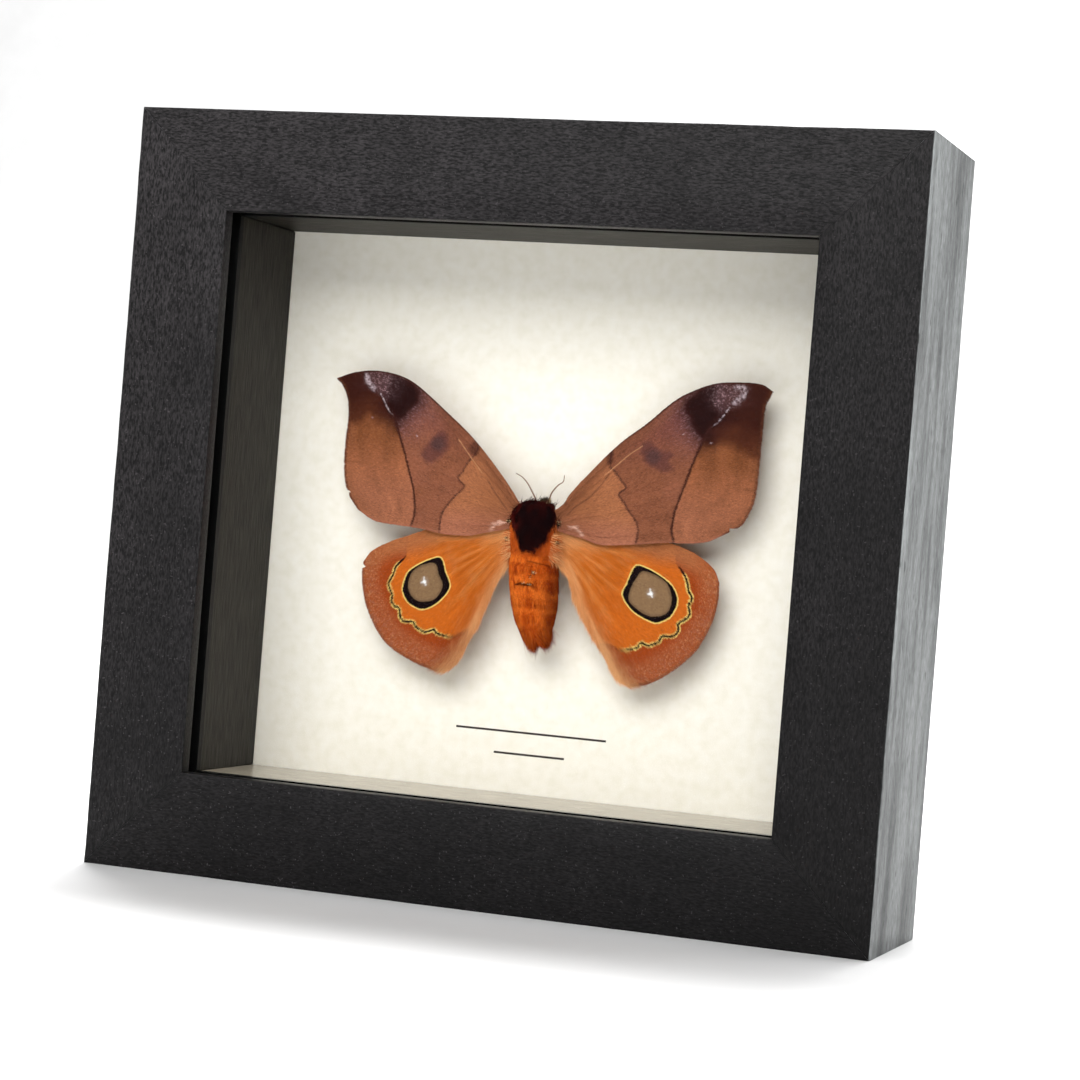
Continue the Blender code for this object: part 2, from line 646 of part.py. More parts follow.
def tube(name, points, radii, slot, sides=8):
    """A closed round tube along points, its radius running through the given values."""
    path = [Vector(p) for p in points]
    ring_points = []
    normal = Vector((0.0, 1.0, 0.0))
    for i, p in enumerate(path):
        ahead = path[min(i + 1, len(path) - 1)] - path[max(i - 1, 0)]
        ahead.normalize()
        normal = (normal - ahead * normal.dot(ahead)).normalized()
        binormal = ahead.cross(normal)
        for k in range(sides):
            turn = 2 * math.pi * k / sides
            ring_points.append(p + (normal * math.cos(turn) + binormal * math.sin(turn)) * radii[i])
    faces = []
    for i in range(len(path) - 1):
        for k in range(sides):
            nxt = (k + 1) % sides
            faces.append((i * sides + k, i * sides + nxt, (i + 1) * sides + nxt, (i + 1) * sides + k))
    faces.append(tuple(reversed(range(sides))))
    faces.append(tuple(range((len(path) - 1) * sides, len(path) * sides)))
    return solid(name, [tuple(p) for p in ring_points], faces, slot, smooth=True)


def make_feelers():
    for name, route in (("antenna_left", ANTENNA_LEFT), ("antenna_right", ANTENNA_RIGHT)):
        points = through(route, np.linspace(0.0, 1.0, 13))
        tube(name, points, np.linspace(ANTENNA_R, ANTENNA_R * 0.7, 13), "feeler")


def make_legs():
    for pair, (start, knee, foot) in LEGS.items():
        for side, name in ((-1, "left"), (1, "right")):
            x, z = start
            depth = thorax_back(BODY_X + x, z) + GAP + LEG_R
            route = [(BODY_X + side * x, depth, z)]
            route += [(BODY_X + side * p[0], p[1], p[2]) for p in (knee, foot)]
            points = through(route, np.linspace(0.0, 1.0, 9))
            tube("leg_%s_%s" % (pair, name), points, np.linspace(LEG_R, LEG_R * 0.72, 9), "leg")


def make_block():
    front = THORAX_DEPTH + THORAX_B + GAP
    slab("mount_block", BLOCK_W, BLOCK_TOP - BLOCK_END, front, PAPER_DEPTH - GAP - front, "foam",
         centre=(BODY_X, (BLOCK_TOP + BLOCK_END) / 2))


def main():
    clear_scene()
    make_case()
    make_head()
    rng = random.Random(4)
    make_thorax(rng)
    make_abdomen(rng)
    make_wing("forewing_left", FORE_LEFT, -1, FORE_DEPTH, FORE_VEINS, "fore_wing")
    make_wing("forewing_right", FORE_RIGHT, 1, FORE_DEPTH, FORE_VEINS, "fore_wing")
    make_wing("hindwing_left", HIND_LEFT, -1, HIND_DEPTH, HIND_VEINS, "hind_wing", fringe=FRINGE)
    make_wing("hindwing_right", HIND_RIGHT, 1, HIND_DEPTH, HIND_VEINS, "hind_wing", fringe=FRINGE)
    make_feelers()
    make_legs()
    make_block()


main()
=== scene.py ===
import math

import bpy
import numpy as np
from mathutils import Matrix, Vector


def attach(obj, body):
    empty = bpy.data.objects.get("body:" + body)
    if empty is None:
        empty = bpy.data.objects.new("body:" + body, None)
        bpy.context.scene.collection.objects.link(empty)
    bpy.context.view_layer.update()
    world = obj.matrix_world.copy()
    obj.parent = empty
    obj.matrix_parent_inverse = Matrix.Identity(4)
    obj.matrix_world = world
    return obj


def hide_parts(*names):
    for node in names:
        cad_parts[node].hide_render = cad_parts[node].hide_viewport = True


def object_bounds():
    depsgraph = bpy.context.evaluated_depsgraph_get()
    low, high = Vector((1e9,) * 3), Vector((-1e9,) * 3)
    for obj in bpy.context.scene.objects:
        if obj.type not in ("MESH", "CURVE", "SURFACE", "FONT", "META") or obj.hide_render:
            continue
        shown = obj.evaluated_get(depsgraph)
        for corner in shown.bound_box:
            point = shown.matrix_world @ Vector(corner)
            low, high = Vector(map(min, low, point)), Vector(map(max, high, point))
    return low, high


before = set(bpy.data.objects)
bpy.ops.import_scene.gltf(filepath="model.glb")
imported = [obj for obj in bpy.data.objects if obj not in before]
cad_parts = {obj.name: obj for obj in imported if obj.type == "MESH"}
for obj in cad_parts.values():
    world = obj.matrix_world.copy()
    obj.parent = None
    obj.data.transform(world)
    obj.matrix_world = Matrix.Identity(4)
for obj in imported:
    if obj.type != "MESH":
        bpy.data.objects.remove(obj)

# A silk moth with eye-spotted hind wings, spread in a black wooden shadow-box frame.
# Lengths are millimetres until a mesh is made. A point is (x, depth, z): x runs to the right and
# z up from the centre of the case's front face, and depth runs back from that face.

CAD_BOX = [list(corner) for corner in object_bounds()]
MM = 0.001
CASE_W = (CAD_BOX[1][0] - CAD_BOX[0][0]) / MM
CASE_D = (CAD_BOX[1][1] - CAD_BOX[0][1]) / MM
CASE_H = (CAD_BOX[1][2] - CAD_BOX[0][2]) / MM
GAP = 0.3
PAPER_DEPTH = 33.5
FACE_W = 20.0                  # width of the case's face
WALL_T = 12.0                  # its walls, behind the lip
LIP_T = 3.0                    # the lip in front of the glass
SPACER_FRONT = 6.7

# The camera of the photograph: where it stands, in metres, and how it is turned, in degrees
CAMERA_AT = (0.19247, -0.53871, 0.07226)
CAMERA_YAW = 19.29
CAMERA_PITCH = -0.10
CAMERA_ROLL = 4.58
CAMERA_LENS = 97.12

# The body, along z, as the solids have it
BODY_X = 0.5
THORAX_DEPTH = 26.0
THORAX_TOP = 3.1
THORAX_END = -7.6
THORAX_A = 5.0
THORAX_B = 4.5
ABDOMEN_END = -24.6
ABDOMEN_A = 4.7
ABDOMEN_B = 4.0
ABDOMEN_LEAN = 1.7
SEGMENT_ENDS = (-10.0, -13.2, -16.5, -19.8, -22.7)
TAIL_TIPS = ((2.2, 26.0, -26.2), (4.6, 26.0, -25.2), (5.9, 26.0, -24.4))
HEAD = (1.2, 27.6, 2.1)
HEAD_R = (1.75, 1.6, 1.6)
EYE_R = 0.9
EYE_OUT = 1.55

# The wings: one shared surface that droops towards the paper
SOLID_WING_T = 0.55
MEMBRANE_T = 0.14
FORE_DEPTH = 24.1
HIND_DEPTH = 25.2
DROOP = 0.06
SWELL = 0.35
SWELL_LENGTH = 26.0
VEIN_H = 0.12
VEIN_W = 0.16
ROOT_SINK = 1.3                # how far a wing runs in under the coat of the thorax
CELL_END = 0.45
CELL_VEINS = (0.22, 0.70)
FORE_VEINS = ((0.10, 0.0), (0.22, 0.0), (0.36, 0.45), (0.49, 0.45), (0.62, 0.0), (0.74, 0.3), (0.88, 0.0))
HIND_VEINS = ((0.12, 0.0), (0.27, 0.0), (0.42, 0.45), (0.56, 0.45), (0.70, 0.0), (0.84, 0.2))

# Outlines and markings as seen from the front, (x, z). A nick is (x, z, depth, half width).
FORE_LEFT = {
    "side": -1,
    "depth": FORE_DEPTH,
    "root": (1.7, -1.9),
    "lead": ((-6.6, 7.5), (-13.4, 14.5), (-20.3, 19.9), (-27.1, 24.9), (-31.5, 26.7), (-36.7, 27.3),
             (-41.5, 26.7), (-45.2, 25.4)),
    "outer": ((-43.5, 23.7), (-42.2, 20.8), (-41.8, 17.0), (-42.0, 12.8), (-41.8, 7.7), (-41.2, 4.2),
              (-39.9, 1.3), (-37.9, -1.2)),
    "trail": ((-9.5, -3.6), (-13.4, -4.5), (-18.5, -4.6), (-23.6, -3.9), (-30.5, -3.5), (-34.5, -3.0)),
    "nicks": ((-40.4, 2.4, 0.5, 0.35),),
    "inner_line": ((-12.7, 14.5), (-13.0, 12.2), (-14.7, 10.0), (-15.5, 8.3), (-16.5, 6.8), (-15.0, 5.2),
                   (-16.7, 3.3), (-18.7, 0.7), (-19.5, -1.3), (-19.6, -4.8)),
    "outer_line": ((-35.0, 22.7), (-33.0, 19.7), (-31.7, 18.3), (-31.0, 16.8), (-30.0, 14.2), (-28.7, 11.0),
                   (-27.7, 8.0), (-26.7, 5.5), (-26.0, 3.0), (-25.6, 0.5), (-25.6, -1.5), (-26.4, -4.4)),
    "cell_spot": ((-21.0, 16.0), (-23.2, 14.0), (-25.0, 11.3), (-23.3, 9.4), (-20.9, 10.6), (-19.3, 12.7),
                  (-19.6, 14.6)),
    "cell_core": (-21.6, 13.4),
    "crescent": ((-38.6, 26.2), (-38.0, 24.9), (-36.6, 23.6)),
    "frost": ((-38.6, 26.9), (-31.2, 26.4), (-30.0, 24.0), (-31.3, 21.6), (-34.4, 22.4), (-36.8, 23.6)),
    "patch": ((-32.4, 26.4), (-28.0, 25.0), (-26.2, 21.8), (-28.2, 19.6), (-30.6, 17.0), (-31.8, 18.3),
              (-33.4, 20.6), (-33.2, 23.4)),
    "apex": ((-50.0, 17.4), (-42.0, 16.6), (-38.0, 18.4), (-34.0, 17.6), (-31.0, 17.8), (-28.0, 20.6),
             (-27.4, 24.0), (-29.0, 32.0), (-50.0, 32.0)),
    "costal_spot": ((-13.6, 14.6), (-12.2, 13.0), (-13.0, 11.6), (-14.8, 12.6)),
    "bare_vein": ((-17.3, 14.7), (-13.6, 10.6), (-11.4, 8.2)),
    "fold": ((-5.0, 1.0), (-8.0, 4.2), (-10.0, 6.7)),
    "frayed": ((-4.6, -1.6), (-5.8, -0.9), (-7.2, -1.0), (-8.7, -2.1), (-9.0, -3.4), (-8.4, -3.4),
               (-8.0, -2.6), (-6.8, -1.8), (-5.6, -1.6)),
    "pale_dots": ((-36.5, 17.8), (-26.3, 14.7)),
}
FORE_RIGHT = {
    "side": 1,
    "depth": FORE_DEPTH,
    "root": (1.1, -1.6),
    "lead": ((6.1, 2.9), (7.6, 5.3), (10.0, 8.3), (16.6, 15.7), (21.8, 20.1), (27.0, 24.8), (31.0, 27.2),
             (35.5, 28.9), (40.8, 29.4), (44.2, 29.2), (46.2, 28.1)),
    "outer": ((45.7, 26.8), (45.0, 25.0), (44.8, 21.1), (44.7, 12.8), (44.5, 7.3), (43.5, 4.0),
              (42.0, 1.4), (38.8, -0.5)),
    "trail": ((10.3, -3.1), (14.6, -4.2), (21.1, -3.7), (27.7, -2.8), (30.9, -2.7), (35.5, -2.1)),
    "nicks": ((40.8, 0.6, 1.0, 0.5),),
    "inner_line": ((15.2, 14.4), (15.3, 11.2), (16.2, 10.5), (17.7, 8.7), (18.8, 7.3), (17.5, 6.0),
                   (18.7, 4.3), (20.2, 2.3), (21.5, 0.8), (22.0, -1.3), (21.6, -4.4)),
    "outer_line": ((38.2, 24.3), (36.3, 21.5), (34.5, 19.8), (33.3, 16.8), (32.3, 14.3), (31.3, 11.3),
                   (30.3, 8.0), (29.5, 5.5), (28.9, 3.0), (28.6, 0.5), (28.7, -1.0), (29.4, -3.2)),
    "cell_spot": ((21.0, 15.7), (22.7, 16.7), (24.7, 15.3), (27.7, 14.7), (27.0, 13.0), (28.2, 11.7),
                  (25.7, 11.0), (24.0, 11.7), (22.0, 13.0)),
    "cell_core": (23.8, 13.8),
    "crescent": ((39.3, 28.3), (40.5, 28.2), (40.8, 27.2), (40.2, 26.3), (39.2, 25.5)),
    "frost": ((33.6, 28.2), (41.0, 28.8), (40.2, 25.6), (37.6, 24.4), (35.2, 23.4), (33.6, 25.6)),
    "patch": ((34.6, 28.3), (31.4, 27.0), (29.4, 24.2), (30.6, 21.2), (32.6, 18.4), (34.2, 17.6),
              (35.2, 20.2), (36.6, 22.6), (35.4, 25.0)),
    "apex": ((50.0, 15.6), (44.0, 16.0), (40.6, 17.6), (37.0, 18.2), (33.8, 18.2), (31.2, 21.0),
             (30.4, 24.6), (32.0, 33.0), (50.0, 33.0)),
    "costal_spot": ((14.4, 14.2), (15.6, 14.6), (15.6, 12.2), (14.6, 11.8)),
    "bare_vein": ((14.4, 9.6), (15.2, 10.3), (18.7, 13.7), (21.3, 15.7)),
    "fold": ((7.0, 0.9), (8.8, 2.8), (11.6, 4.9), (13.5, 7.2), (15.3, 9.9)),
    "frayed": ((7.6, -1.2), (8.9, -1.0), (10.1, -1.6), (10.9, -2.8), (10.4, -3.1), (9.8, -2.4), (8.9, -1.8),
               (7.8, -1.8)),
    "pale_dots": ((29.6, 18.6), (35.2, 17.2)),
}
HIND_LEFT = {
    "side": -1,
    "depth": HIND_DEPTH,
    "root": (-1.2, -6.4),
    "lead": ((-10.0, -1.5), (-17.0, -2.2), (-23.2, -4.1), (-26.4, -5.3), (-30.7, -6.9), (-34.7, -9.1),
             (-36.3, -11.2)),
    "outer": ((-36.5, -13.5), (-35.6, -18.2), (-33.5, -22.7), (-29.9, -27.2), (-24.8, -30.1),
              (-19.3, -31.9), (-16.6, -32.0)),
    "trail": ((-6.2, -11.5), (-8.3, -16.5), (-10.0, -21.6), (-11.8, -25.4), (-13.3, -28.8),
              (-14.9, -30.9)),
    "nicks": ((-36.4, -12.4, 0.7, 0.3),),
    "eye_spot": ((-19.1, -9.3), (-17.6, -12.5), (-16.6, -15.0), (-18.2, -17.7), (-20.6, -19.6),
                 (-22.9, -20.3), (-25.5, -19.4), (-27.0, -17.8), (-27.5, -15.9), (-26.6, -12.9),
                 (-24.6, -11.2), (-21.6, -9.7)),
    "eye_core": ((-20.3, -10.8), (-19.5, -12.6), (-18.5, -15.0), (-19.6, -17.5), (-22.0, -18.5),
                 (-24.4, -18.2), (-26.0, -16.2), (-25.8, -13.5), (-24.4, -11.8), (-21.9, -10.7)),
    "flecks": (-22.5, -14.5),
    "wave": ((-27.1, -9.1), (-27.4, -10.1), (-29.1, -11.8), (-29.6, -13.5), (-30.4, -15.3), (-30.1, -16.5),
             (-29.5, -17.6), (-29.4, -19.1), (-28.6, -20.0), (-27.6, -20.4), (-27.3, -21.9), (-26.4, -22.8),
             (-24.4, -22.8), (-23.6, -23.8), (-21.7, -24.6), (-19.8, -24.0), (-18.8, -24.7), (-15.8, -25.1),
             (-14.1, -24.3), (-12.0, -23.2)),
}
HIND_RIGHT = {
    "side": 1,
    "depth": HIND_DEPTH,
    "root": (-1.0, -6.2),
    "lead": ((12.0, -1.0), (19.0, -1.2), (26.9, -2.6), (30.3, -3.4), (34.0, -4.9), (37.2, -7.2),
             (38.5, -9.6)),
    "outer": ((38.5, -13.5), (37.4, -18.2), (34.7, -23.6), (30.1, -28.0), (25.6, -30.7), (22.0, -31.4)),
    "trail": ((8.0, -10.3), (10.2, -15.0), (13.4, -20.9), (16.4, -25.3), (19.4, -30.0)),
    "nicks": (),
    "eye_spot": ((21.6, -7.7), (24.2, -7.9), (27.8, -9.7), (29.8, -11.5), (30.8, -14.1), (29.8, -17.1),
                 (27.8, -18.5), (26.0, -18.8), (22.5, -17.4), (20.4, -15.6), (19.3, -13.5), (20.1, -11.2)),
    "eye_core": ((23.1, -8.8), (25.4, -9.1), (28.1, -10.6), (29.3, -13.2), (29.2, -15.6), (27.8, -17.1),
                 (25.1, -17.4), (22.5, -16.2), (20.9, -14.7), (21.0, -12.6), (22.0, -10.3)),
    "flecks": (25.2, -13.0),
    "wave": ((29.7, -6.8), (30.7, -7.8), (32.0, -9.7), (32.6, -11.8), (33.4, -13.2), (32.9, -14.7),
             (33.2, -16.5), (32.3, -17.6), (31.1, -18.5), (31.3, -19.7), (30.3, -20.9), (28.1, -21.2),
             (27.6, -22.2), (26.6, -22.8), (25.4, -23.2), (23.9, -22.8), (23.1, -23.8), (20.1, -24.6),
             (18.4, -24.0), (16.0, -23.2)),
}

# Feelers and legs, as points on their way out
ANTENNA_R = 0.12
ANTENNA_LEFT = ((-0.1, 27.0, 3.3), (-1.1, 26.6, 5.2), (-2.1, 26.3, 6.8), (-3.3, 26.1, 8.0),
                (-4.6, 26.0, 8.6))
ANTENNA_RIGHT = ((2.4, 27.0, 3.5), (3.0, 26.6, 5.2), (4.3, 26.3, 6.8), (5.4, 26.1, 7.6), (5.6, 26.0, 8.9))
LEG_R = 0.34
LEGS = {
    "fore": ((1.9, 0.2), (1.9, 31.0, 1.4), (0.9, 30.6, 2.6)),
    "mid": ((3.2, -1.5), (5.3, 31.4, -3.6), (5.6, 31.9, -7.6)),
    "hind": ((2.4, -4.6), (3.2, 32.0, -9.0), (2.2, 32.4, -14.0)),
}

# How finely the wings and coats are made
FORE_GRID = (200, 120)
HIND_GRID = (190, 150)
UV_PATCH = 0.003               # one tuft's patch on the map
ROOT_SHADE = 0.92               # painted shade: how much darker a tuft is at its root


def srgb(red, green, blue):
    """A colour seen on a screen, as the linear light that the shaders take."""
    value = np.array((red, green, blue)) / 255.0
    return np.where(value <= 0.04045, value / 12.92, ((value + 0.055) / 1.055) ** 2.4)


def smooth(value, low, high):
    """0 below low, 1 above high, and a smooth rise between."""
    share = np.clip((value - low) / (high - low), 0.0, 1.0)
    return share * share * (3.0 - 2.0 * share)


def mix(colour, other, share):
    """One colour painted over another, by a share for each point."""
    share = np.clip(np.asarray(share, dtype=float), 0.0, 1.0)[:, None]
    return colour * (1.0 - share) + other * share


def cloud(points, size, seed, octaves=3):
    """Smooth noise from 0 to 1 over a plane, with features about size across."""
    count = 128
    total = np.zeros(len(points))
    weight = 0.0
    for octave in range(octaves):
        lattice = np.random.default_rng(seed * 10 + octave).random((count, count))
        place = points[:, :2] / (size * 0.5 ** octave) + 1000.0
        cell = np.floor(place).astype(int)
        f = place - cell
        f = f * f * (3.0 - 2.0 * f)
        i, j = cell[:, 0] % count, cell[:, 1] % count
        k, m = (i + 1) % count, (j + 1) % count
        low = lattice[i, j] * (1 - f[:, 0]) + lattice[k, j] * f[:, 0]
        high = lattice[i, m] * (1 - f[:, 0]) + lattice[k, m] * f[:, 0]
        total += (low * (1 - f[:, 1]) + high * f[:, 1]) * 0.5 ** octave
        weight += 0.5 ** octave
    return total / weight


def through(points, share):
    """Points along a smooth curve through the given ones, at shares of its length."""
    given = np.array(points, dtype=float)
    knots = np.vstack([2 * given[0] - given[1], given, 2 * given[-1] - given[-2]])
    dense = []
    for a, b, c, d in zip(knots[:-3], knots[1:-2], knots[2:-1], knots[3:]):
        for t in np.linspace(0.0, 1.0, 12, endpoint=False):
            dense.append(0.5 * (2 * b + (c - a) * t + (2 * a - 5 * b + 4 * c - d) * t ** 2
                                + (3 * b - a - 3 * c + d) * t ** 3))
    dense.append(given[-1])
    dense = np.array(dense)
    length = np.concatenate([[0.0], np.cumsum(np.linalg.norm(np.diff(dense, axis=0), axis=1))])
    where = np.asarray(share, dtype=float) * length[-1]
    return np.stack([np.interp(where, length, dense[:, k]) for k in range(given.shape[1])], axis=1)


def closed(loop, count):
    """Points round a smooth closed curve."""
    ring = list(loop)
    long = through(ring[-2:] + ring + ring[:2], np.linspace(0.0, 1.0, count * 2))
    first = np.argmin(np.linalg.norm(long[:count] - np.array(ring[0]), axis=1))
    last = count + np.argmin(np.linalg.norm(long[count:] - np.array(ring[0]), axis=1))
    return long[first:last]


def away(points, route):
    """Distance of each point from a line of short straight pieces, and the share along it."""
    start, step = route[:-1], np.diff(route, axis=0)
    square = np.maximum((step ** 2).sum(axis=1), 1e-12)
    best = np.full(len(points), 1e9)
    where = np.zeros(len(points))
    for i in range(len(start)):
        rest = points - start[i]
        t = np.clip(rest @ step[i] / square[i], 0.0, 1.0)
        gap = np.hypot(rest[:, 0] - t * step[i, 0], rest[:, 1] - t * step[i, 1])
        near = gap < best
        best[near] = gap[near]
        where[near] = (i + t[near]) / len(start)
    return best, where


def depth_in(points, loop):
    """How far each point lies inside a closed loop; outside it is negative."""
    loop = np.asarray(loop, dtype=float)
    ends = np.roll(loop, -1, axis=0)
    inside = np.zeros(len(points), dtype=bool)
    for (x0, z0), (x1, z1) in zip(loop, ends):
        if z0 == z1:
            continue
        crosses = (points[:, 1] < z0) != (points[:, 1] < z1)
        inside ^= crosses & (points[:, 0] < (x1 - x0) * (points[:, 1] - z0) / (z1 - z0) + x0)
    gap, _ = away(points, np.vstack([loop, loop[:1]]))
    return np.where(inside, gap, -gap)


def place(points):
    """Points (x, depth, z) in millimetres, in the frame's own metres."""
    points = np.asarray(points, dtype=float)
    return np.stack([points[:, 0] * MM, (points[:, 1] - CASE_D / 2) * MM, (points[:, 2] + CASE_H / 2) * MM],
                    axis=1)


def build(name, points, faces, material, replaced=(), colours=None, uv=None):
    """A piece from points in millimetres and arrays of faces, riding on the still body."""
    mesh = bpy.data.meshes.new(name)
    groups = [np.asarray(group) for group in faces if len(group)]
    corners = np.concatenate([group.ravel() for group in groups]).astype(np.int32)
    sizes = np.concatenate([np.full(len(group), group.shape[1]) for group in groups])
    mesh.vertices.add(len(points))
    mesh.vertices.foreach_set("co", place(points).ravel())
    mesh.loops.add(len(corners))
    mesh.loops.foreach_set("vertex_index", corners)
    mesh.polygons.add(len(sizes))
    mesh.polygons.foreach_set("loop_start", (np.cumsum(sizes) - sizes).astype(np.int32))
    mesh.update(calc_edges=True)
    if colours is not None:
        layer = mesh.color_attributes.new("paint", "FLOAT_COLOR", "POINT")
        layer.data.foreach_set("color", np.column_stack([colours, np.ones(len(points))]).ravel())
    if uv is not None:
        layer = mesh.uv_layers.new(name="OFBake")
        layer.data.foreach_set("uv", np.clip(uv, 0.0, 1.0)[corners].ravel())
    mesh.materials.append(material)
    mesh.shade_smooth()
    piece = bpy.data.objects.new(name, mesh)
    bpy.context.scene.collection.objects.link(piece)
    own(piece, replaced)
    return piece


def own(piece, replaced=()):
    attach(piece, "root")
    if replaced:
        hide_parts(*replaced)


# Materials


def new_material(name, roughness, specular=0.5):
    material = bpy.data.materials.new(name)
    material.use_nodes = True
    shader = material.node_tree.nodes["Principled BSDF"]
    shader.inputs["Roughness"].default_value = roughness
    shader.inputs["Specular IOR Level"].default_value = specular
    return material, material.node_tree, shader


def node(tree, kind, inputs=None, **settings):
    """A node with its settings, and with each input set to a value or linked to a socket."""
    made = tree.nodes.new(kind)
    for key, value in settings.items():
        setattr(made, key, value)
    for key, value in (inputs or {}).items():
        if isinstance(value, bpy.types.NodeSocket):
            tree.links.new(value, made.inputs[key])
        else:
            made.inputs[key].default_value = value
    return made


def on_object(tree):
    """The place of a point in the object's own space, in metres."""
    return node(tree, "ShaderNodeTexCoord").outputs["Object"]


def object_noise(tree, scale, detail=3.0, rough=0.55):
    """Noise over the object's own space, with its scale for each metre along x, y and z."""
    mapped = node(tree, "ShaderNodeMapping", {"Vector": on_object(tree), "Scale": scale})
    noise = node(tree, "ShaderNodeTexNoise",
                 {"Vector": mapped.outputs["Vector"], "Scale": 1.0, "Detail": detail, "Roughness": rough})
    return noise.outputs["Fac"]


def drawn_out(across, lengthwise, along):
    """Scales of a noise that is stretched along one axis."""
    scale = [across] * 3
    scale[along] = lengthwise
    return scale


def ramp(tree, value, stops):
    made = node(tree, "ShaderNodeValToRGB", {"Fac": value})
    band = made.color_ramp
    while len(band.elements) < len(stops):
        band.elements.new(0.5)
    for element, (where, colour) in zip(band.elements, stops):
        element.position = where
        element.color = (*colour, 1.0)
    return made.outputs["Color"]


def span(tree, value, low, high, out_low, out_high):
    made = node(tree, "ShaderNodeMapRange", {"Value": value, "From Min": low, "From Max": high,
                                             "To Min": out_low, "To Max": out_high})
    return made.outputs["Result"]


def shaded(tree, colour, value, low, high, out_low, out_high):
    """A colour made darker or lighter as a value goes from low to high."""
    factor = span(tree, value, low, high, out_low, out_high)
    return node(tree, "ShaderNodeVectorMath", {0: colour, 1: factor}, operation="MULTIPLY").outputs["Vector"]


def calc(tree, operation, first, second=0.0):
    return node(tree, "ShaderNodeMath", {0: first, 1: second}, operation=operation).outputs["Value"]


def blend(tree, share, first, second):
    """Two colours mixed by a share: the second where it is 1. The first is a socket."""
    made = node(tree, "ShaderNodeMix", {0: share, 6: first}, data_type="RGBA")
    if isinstance(second, bpy.types.NodeSocket):
        tree.links.new(second, made.inputs[7])
    else:
        made.inputs[7].default_value = (*second, 1.0)
    return made.outputs[2]


def link_shader(tree, shader, colour, roughness, height=None, relief=0.0):
    """Link a shader's colour and roughness, and relief, in metres, from a height."""
    tree.links.new(colour, shader.inputs["Base Color"])
    tree.links.new(roughness, shader.inputs["Roughness"])
    if relief:
        bump = node(tree, "ShaderNodeBump", {"Height": height, "Distance": relief, "Strength": 1.0})
        tree.links.new(bump.outputs["Normal"], shader.inputs["Normal"])


def wood(name, along, dark, light, rubbed_and_sheen, roughness, specular):
    """Black stain over fine grain along one axis, with painted light: the face lighter towards the top and the
    left, and on the outer sides paler rubbed streaks under a painted sheen, lighter at the front edge and
    towards the top.
    """
    material, tree, shader = new_material(name, roughness, specular)
    grain = object_noise(tree, drawn_out(3000.0, 1000.0, along), 3.0, 0.6)
    streaks = object_noise(tree, drawn_out(230.0, 34.0, along), 4.0, 0.6)
    fibres = object_noise(tree, drawn_out(2200.0, 420.0, along), 2.0)
    pits = object_noise(tree, drawn_out(800.0, 260.0, along), 1.0)
    patches = object_noise(tree, (55.0,) * 3, 2.0)
    dust = object_noise(tree, (2200.0,) * 3, 1.0)
    x, y, z = node(tree, "ShaderNodeSeparateXYZ", {"Vector": on_object(tree)}).outputs
    right, front, top = CASE_W / 2 * MM, -CASE_D / 2 * MM, CASE_H * MM
    face = ramp(tree, grain, ((0.37, dark), (0.66, light)))
    face = shaded(tree, face, patches, 0.3, 0.7, 0.7, 1.3)
    # painted light: the face lighter towards the top, darker towards the bottom
    face = shaded(tree, face, z, 0.0, top, 0.6, 1.9)
    face = blend(tree, span(tree, dust, 0.69, 0.75, 0.0, 0.6), face, light * 4.0)
    # painted light: the face lighter at the left, darker at the right
    face = shaded(tree, face, x, -right, right, 1.2, 0.66)
    # the outer sides: rubbed streaks with a painted sheen over them, in the place of the gloss that is turned
    # down below
    worn_and_sheen = ramp(tree, streaks, ((0.36, rubbed_and_sheen * 0.4), (0.6, rubbed_and_sheen)))
    worn_and_sheen = shaded(tree, worn_and_sheen, fibres, 0.3, 0.7, 0.6, 1.4)
    worn_and_sheen = shaded(tree, worn_and_sheen, pits, 0.68, 0.74, 1.0, 0.3)
    # painted light: the sides lighter towards the top
    worn_and_sheen = shaded(tree, worn_and_sheen, z, 0.0, top, 0.8, 1.05)
    # painted highlight along the front edge of the sides
    worn_and_sheen = shaded(tree, worn_and_sheen, y, front, front + 0.008, 1.35, 1.0)
    normal = node(tree, "ShaderNodeNewGeometry").outputs["True Normal"]
    across = node(tree, "ShaderNodeSeparateXYZ", {"Vector": normal}).outputs["X"]
    sideways = span(tree, calc(tree, "ABSOLUTE", across), 0.2, 0.6, 0.0, 1.0)
    outer = calc(tree, "GREATER_THAN", calc(tree, "ABSOLUTE", x), right - 5.0 * MM)
    side = calc(tree, "MULTIPLY", sideways, outer)
    tree.links.new(span(tree, side, 0.0, 1.0, specular, 0.03), shader.inputs["Specular IOR Level"])
    rough = span(tree, calc(tree, "ADD", grain, patches), 0.7, 1.3, roughness + 0.08, roughness - 0.06)
    link_shader(tree, shader, blend(tree, side, face, worn_and_sheen), rough, grain, 0.00006)
    return material


def spacer_stain(name, along, roughness, specular, tones):
    """Thin black stain on strips of wood, with painted shade: dead black where they meet the glass, as the lip
    shades them there.
    """
    material, tree, shader = new_material(name, roughness, specular)
    grain = object_noise(tree, drawn_out(2200.0, 160.0, along), 4.0, 0.6)
    y = node(tree, "ShaderNodeSeparateXYZ", {"Vector": on_object(tree)}).outputs["Y"]
    lip_shade_end = (SPACER_FRONT + 1.5 - CASE_D / 2) * MM
    # painted shade: the spacers dead black for their first millimetres behind the glass
    black = span(tree, y, lip_shade_end, lip_shade_end + 0.0003, 1.0, 0.0)
    colour = ramp(tree, grain, ((0.3, tones[0]), (0.7, tones[1])))
    colour = blend(tree, black, colour, (0.001, 0.001, 0.001))
    rough = span(tree, grain, 0.3, 0.7, roughness + 0.08, roughness - 0.05)
    link_shader(tree, shader, colour, rough, grain, 0.00008)
    return material


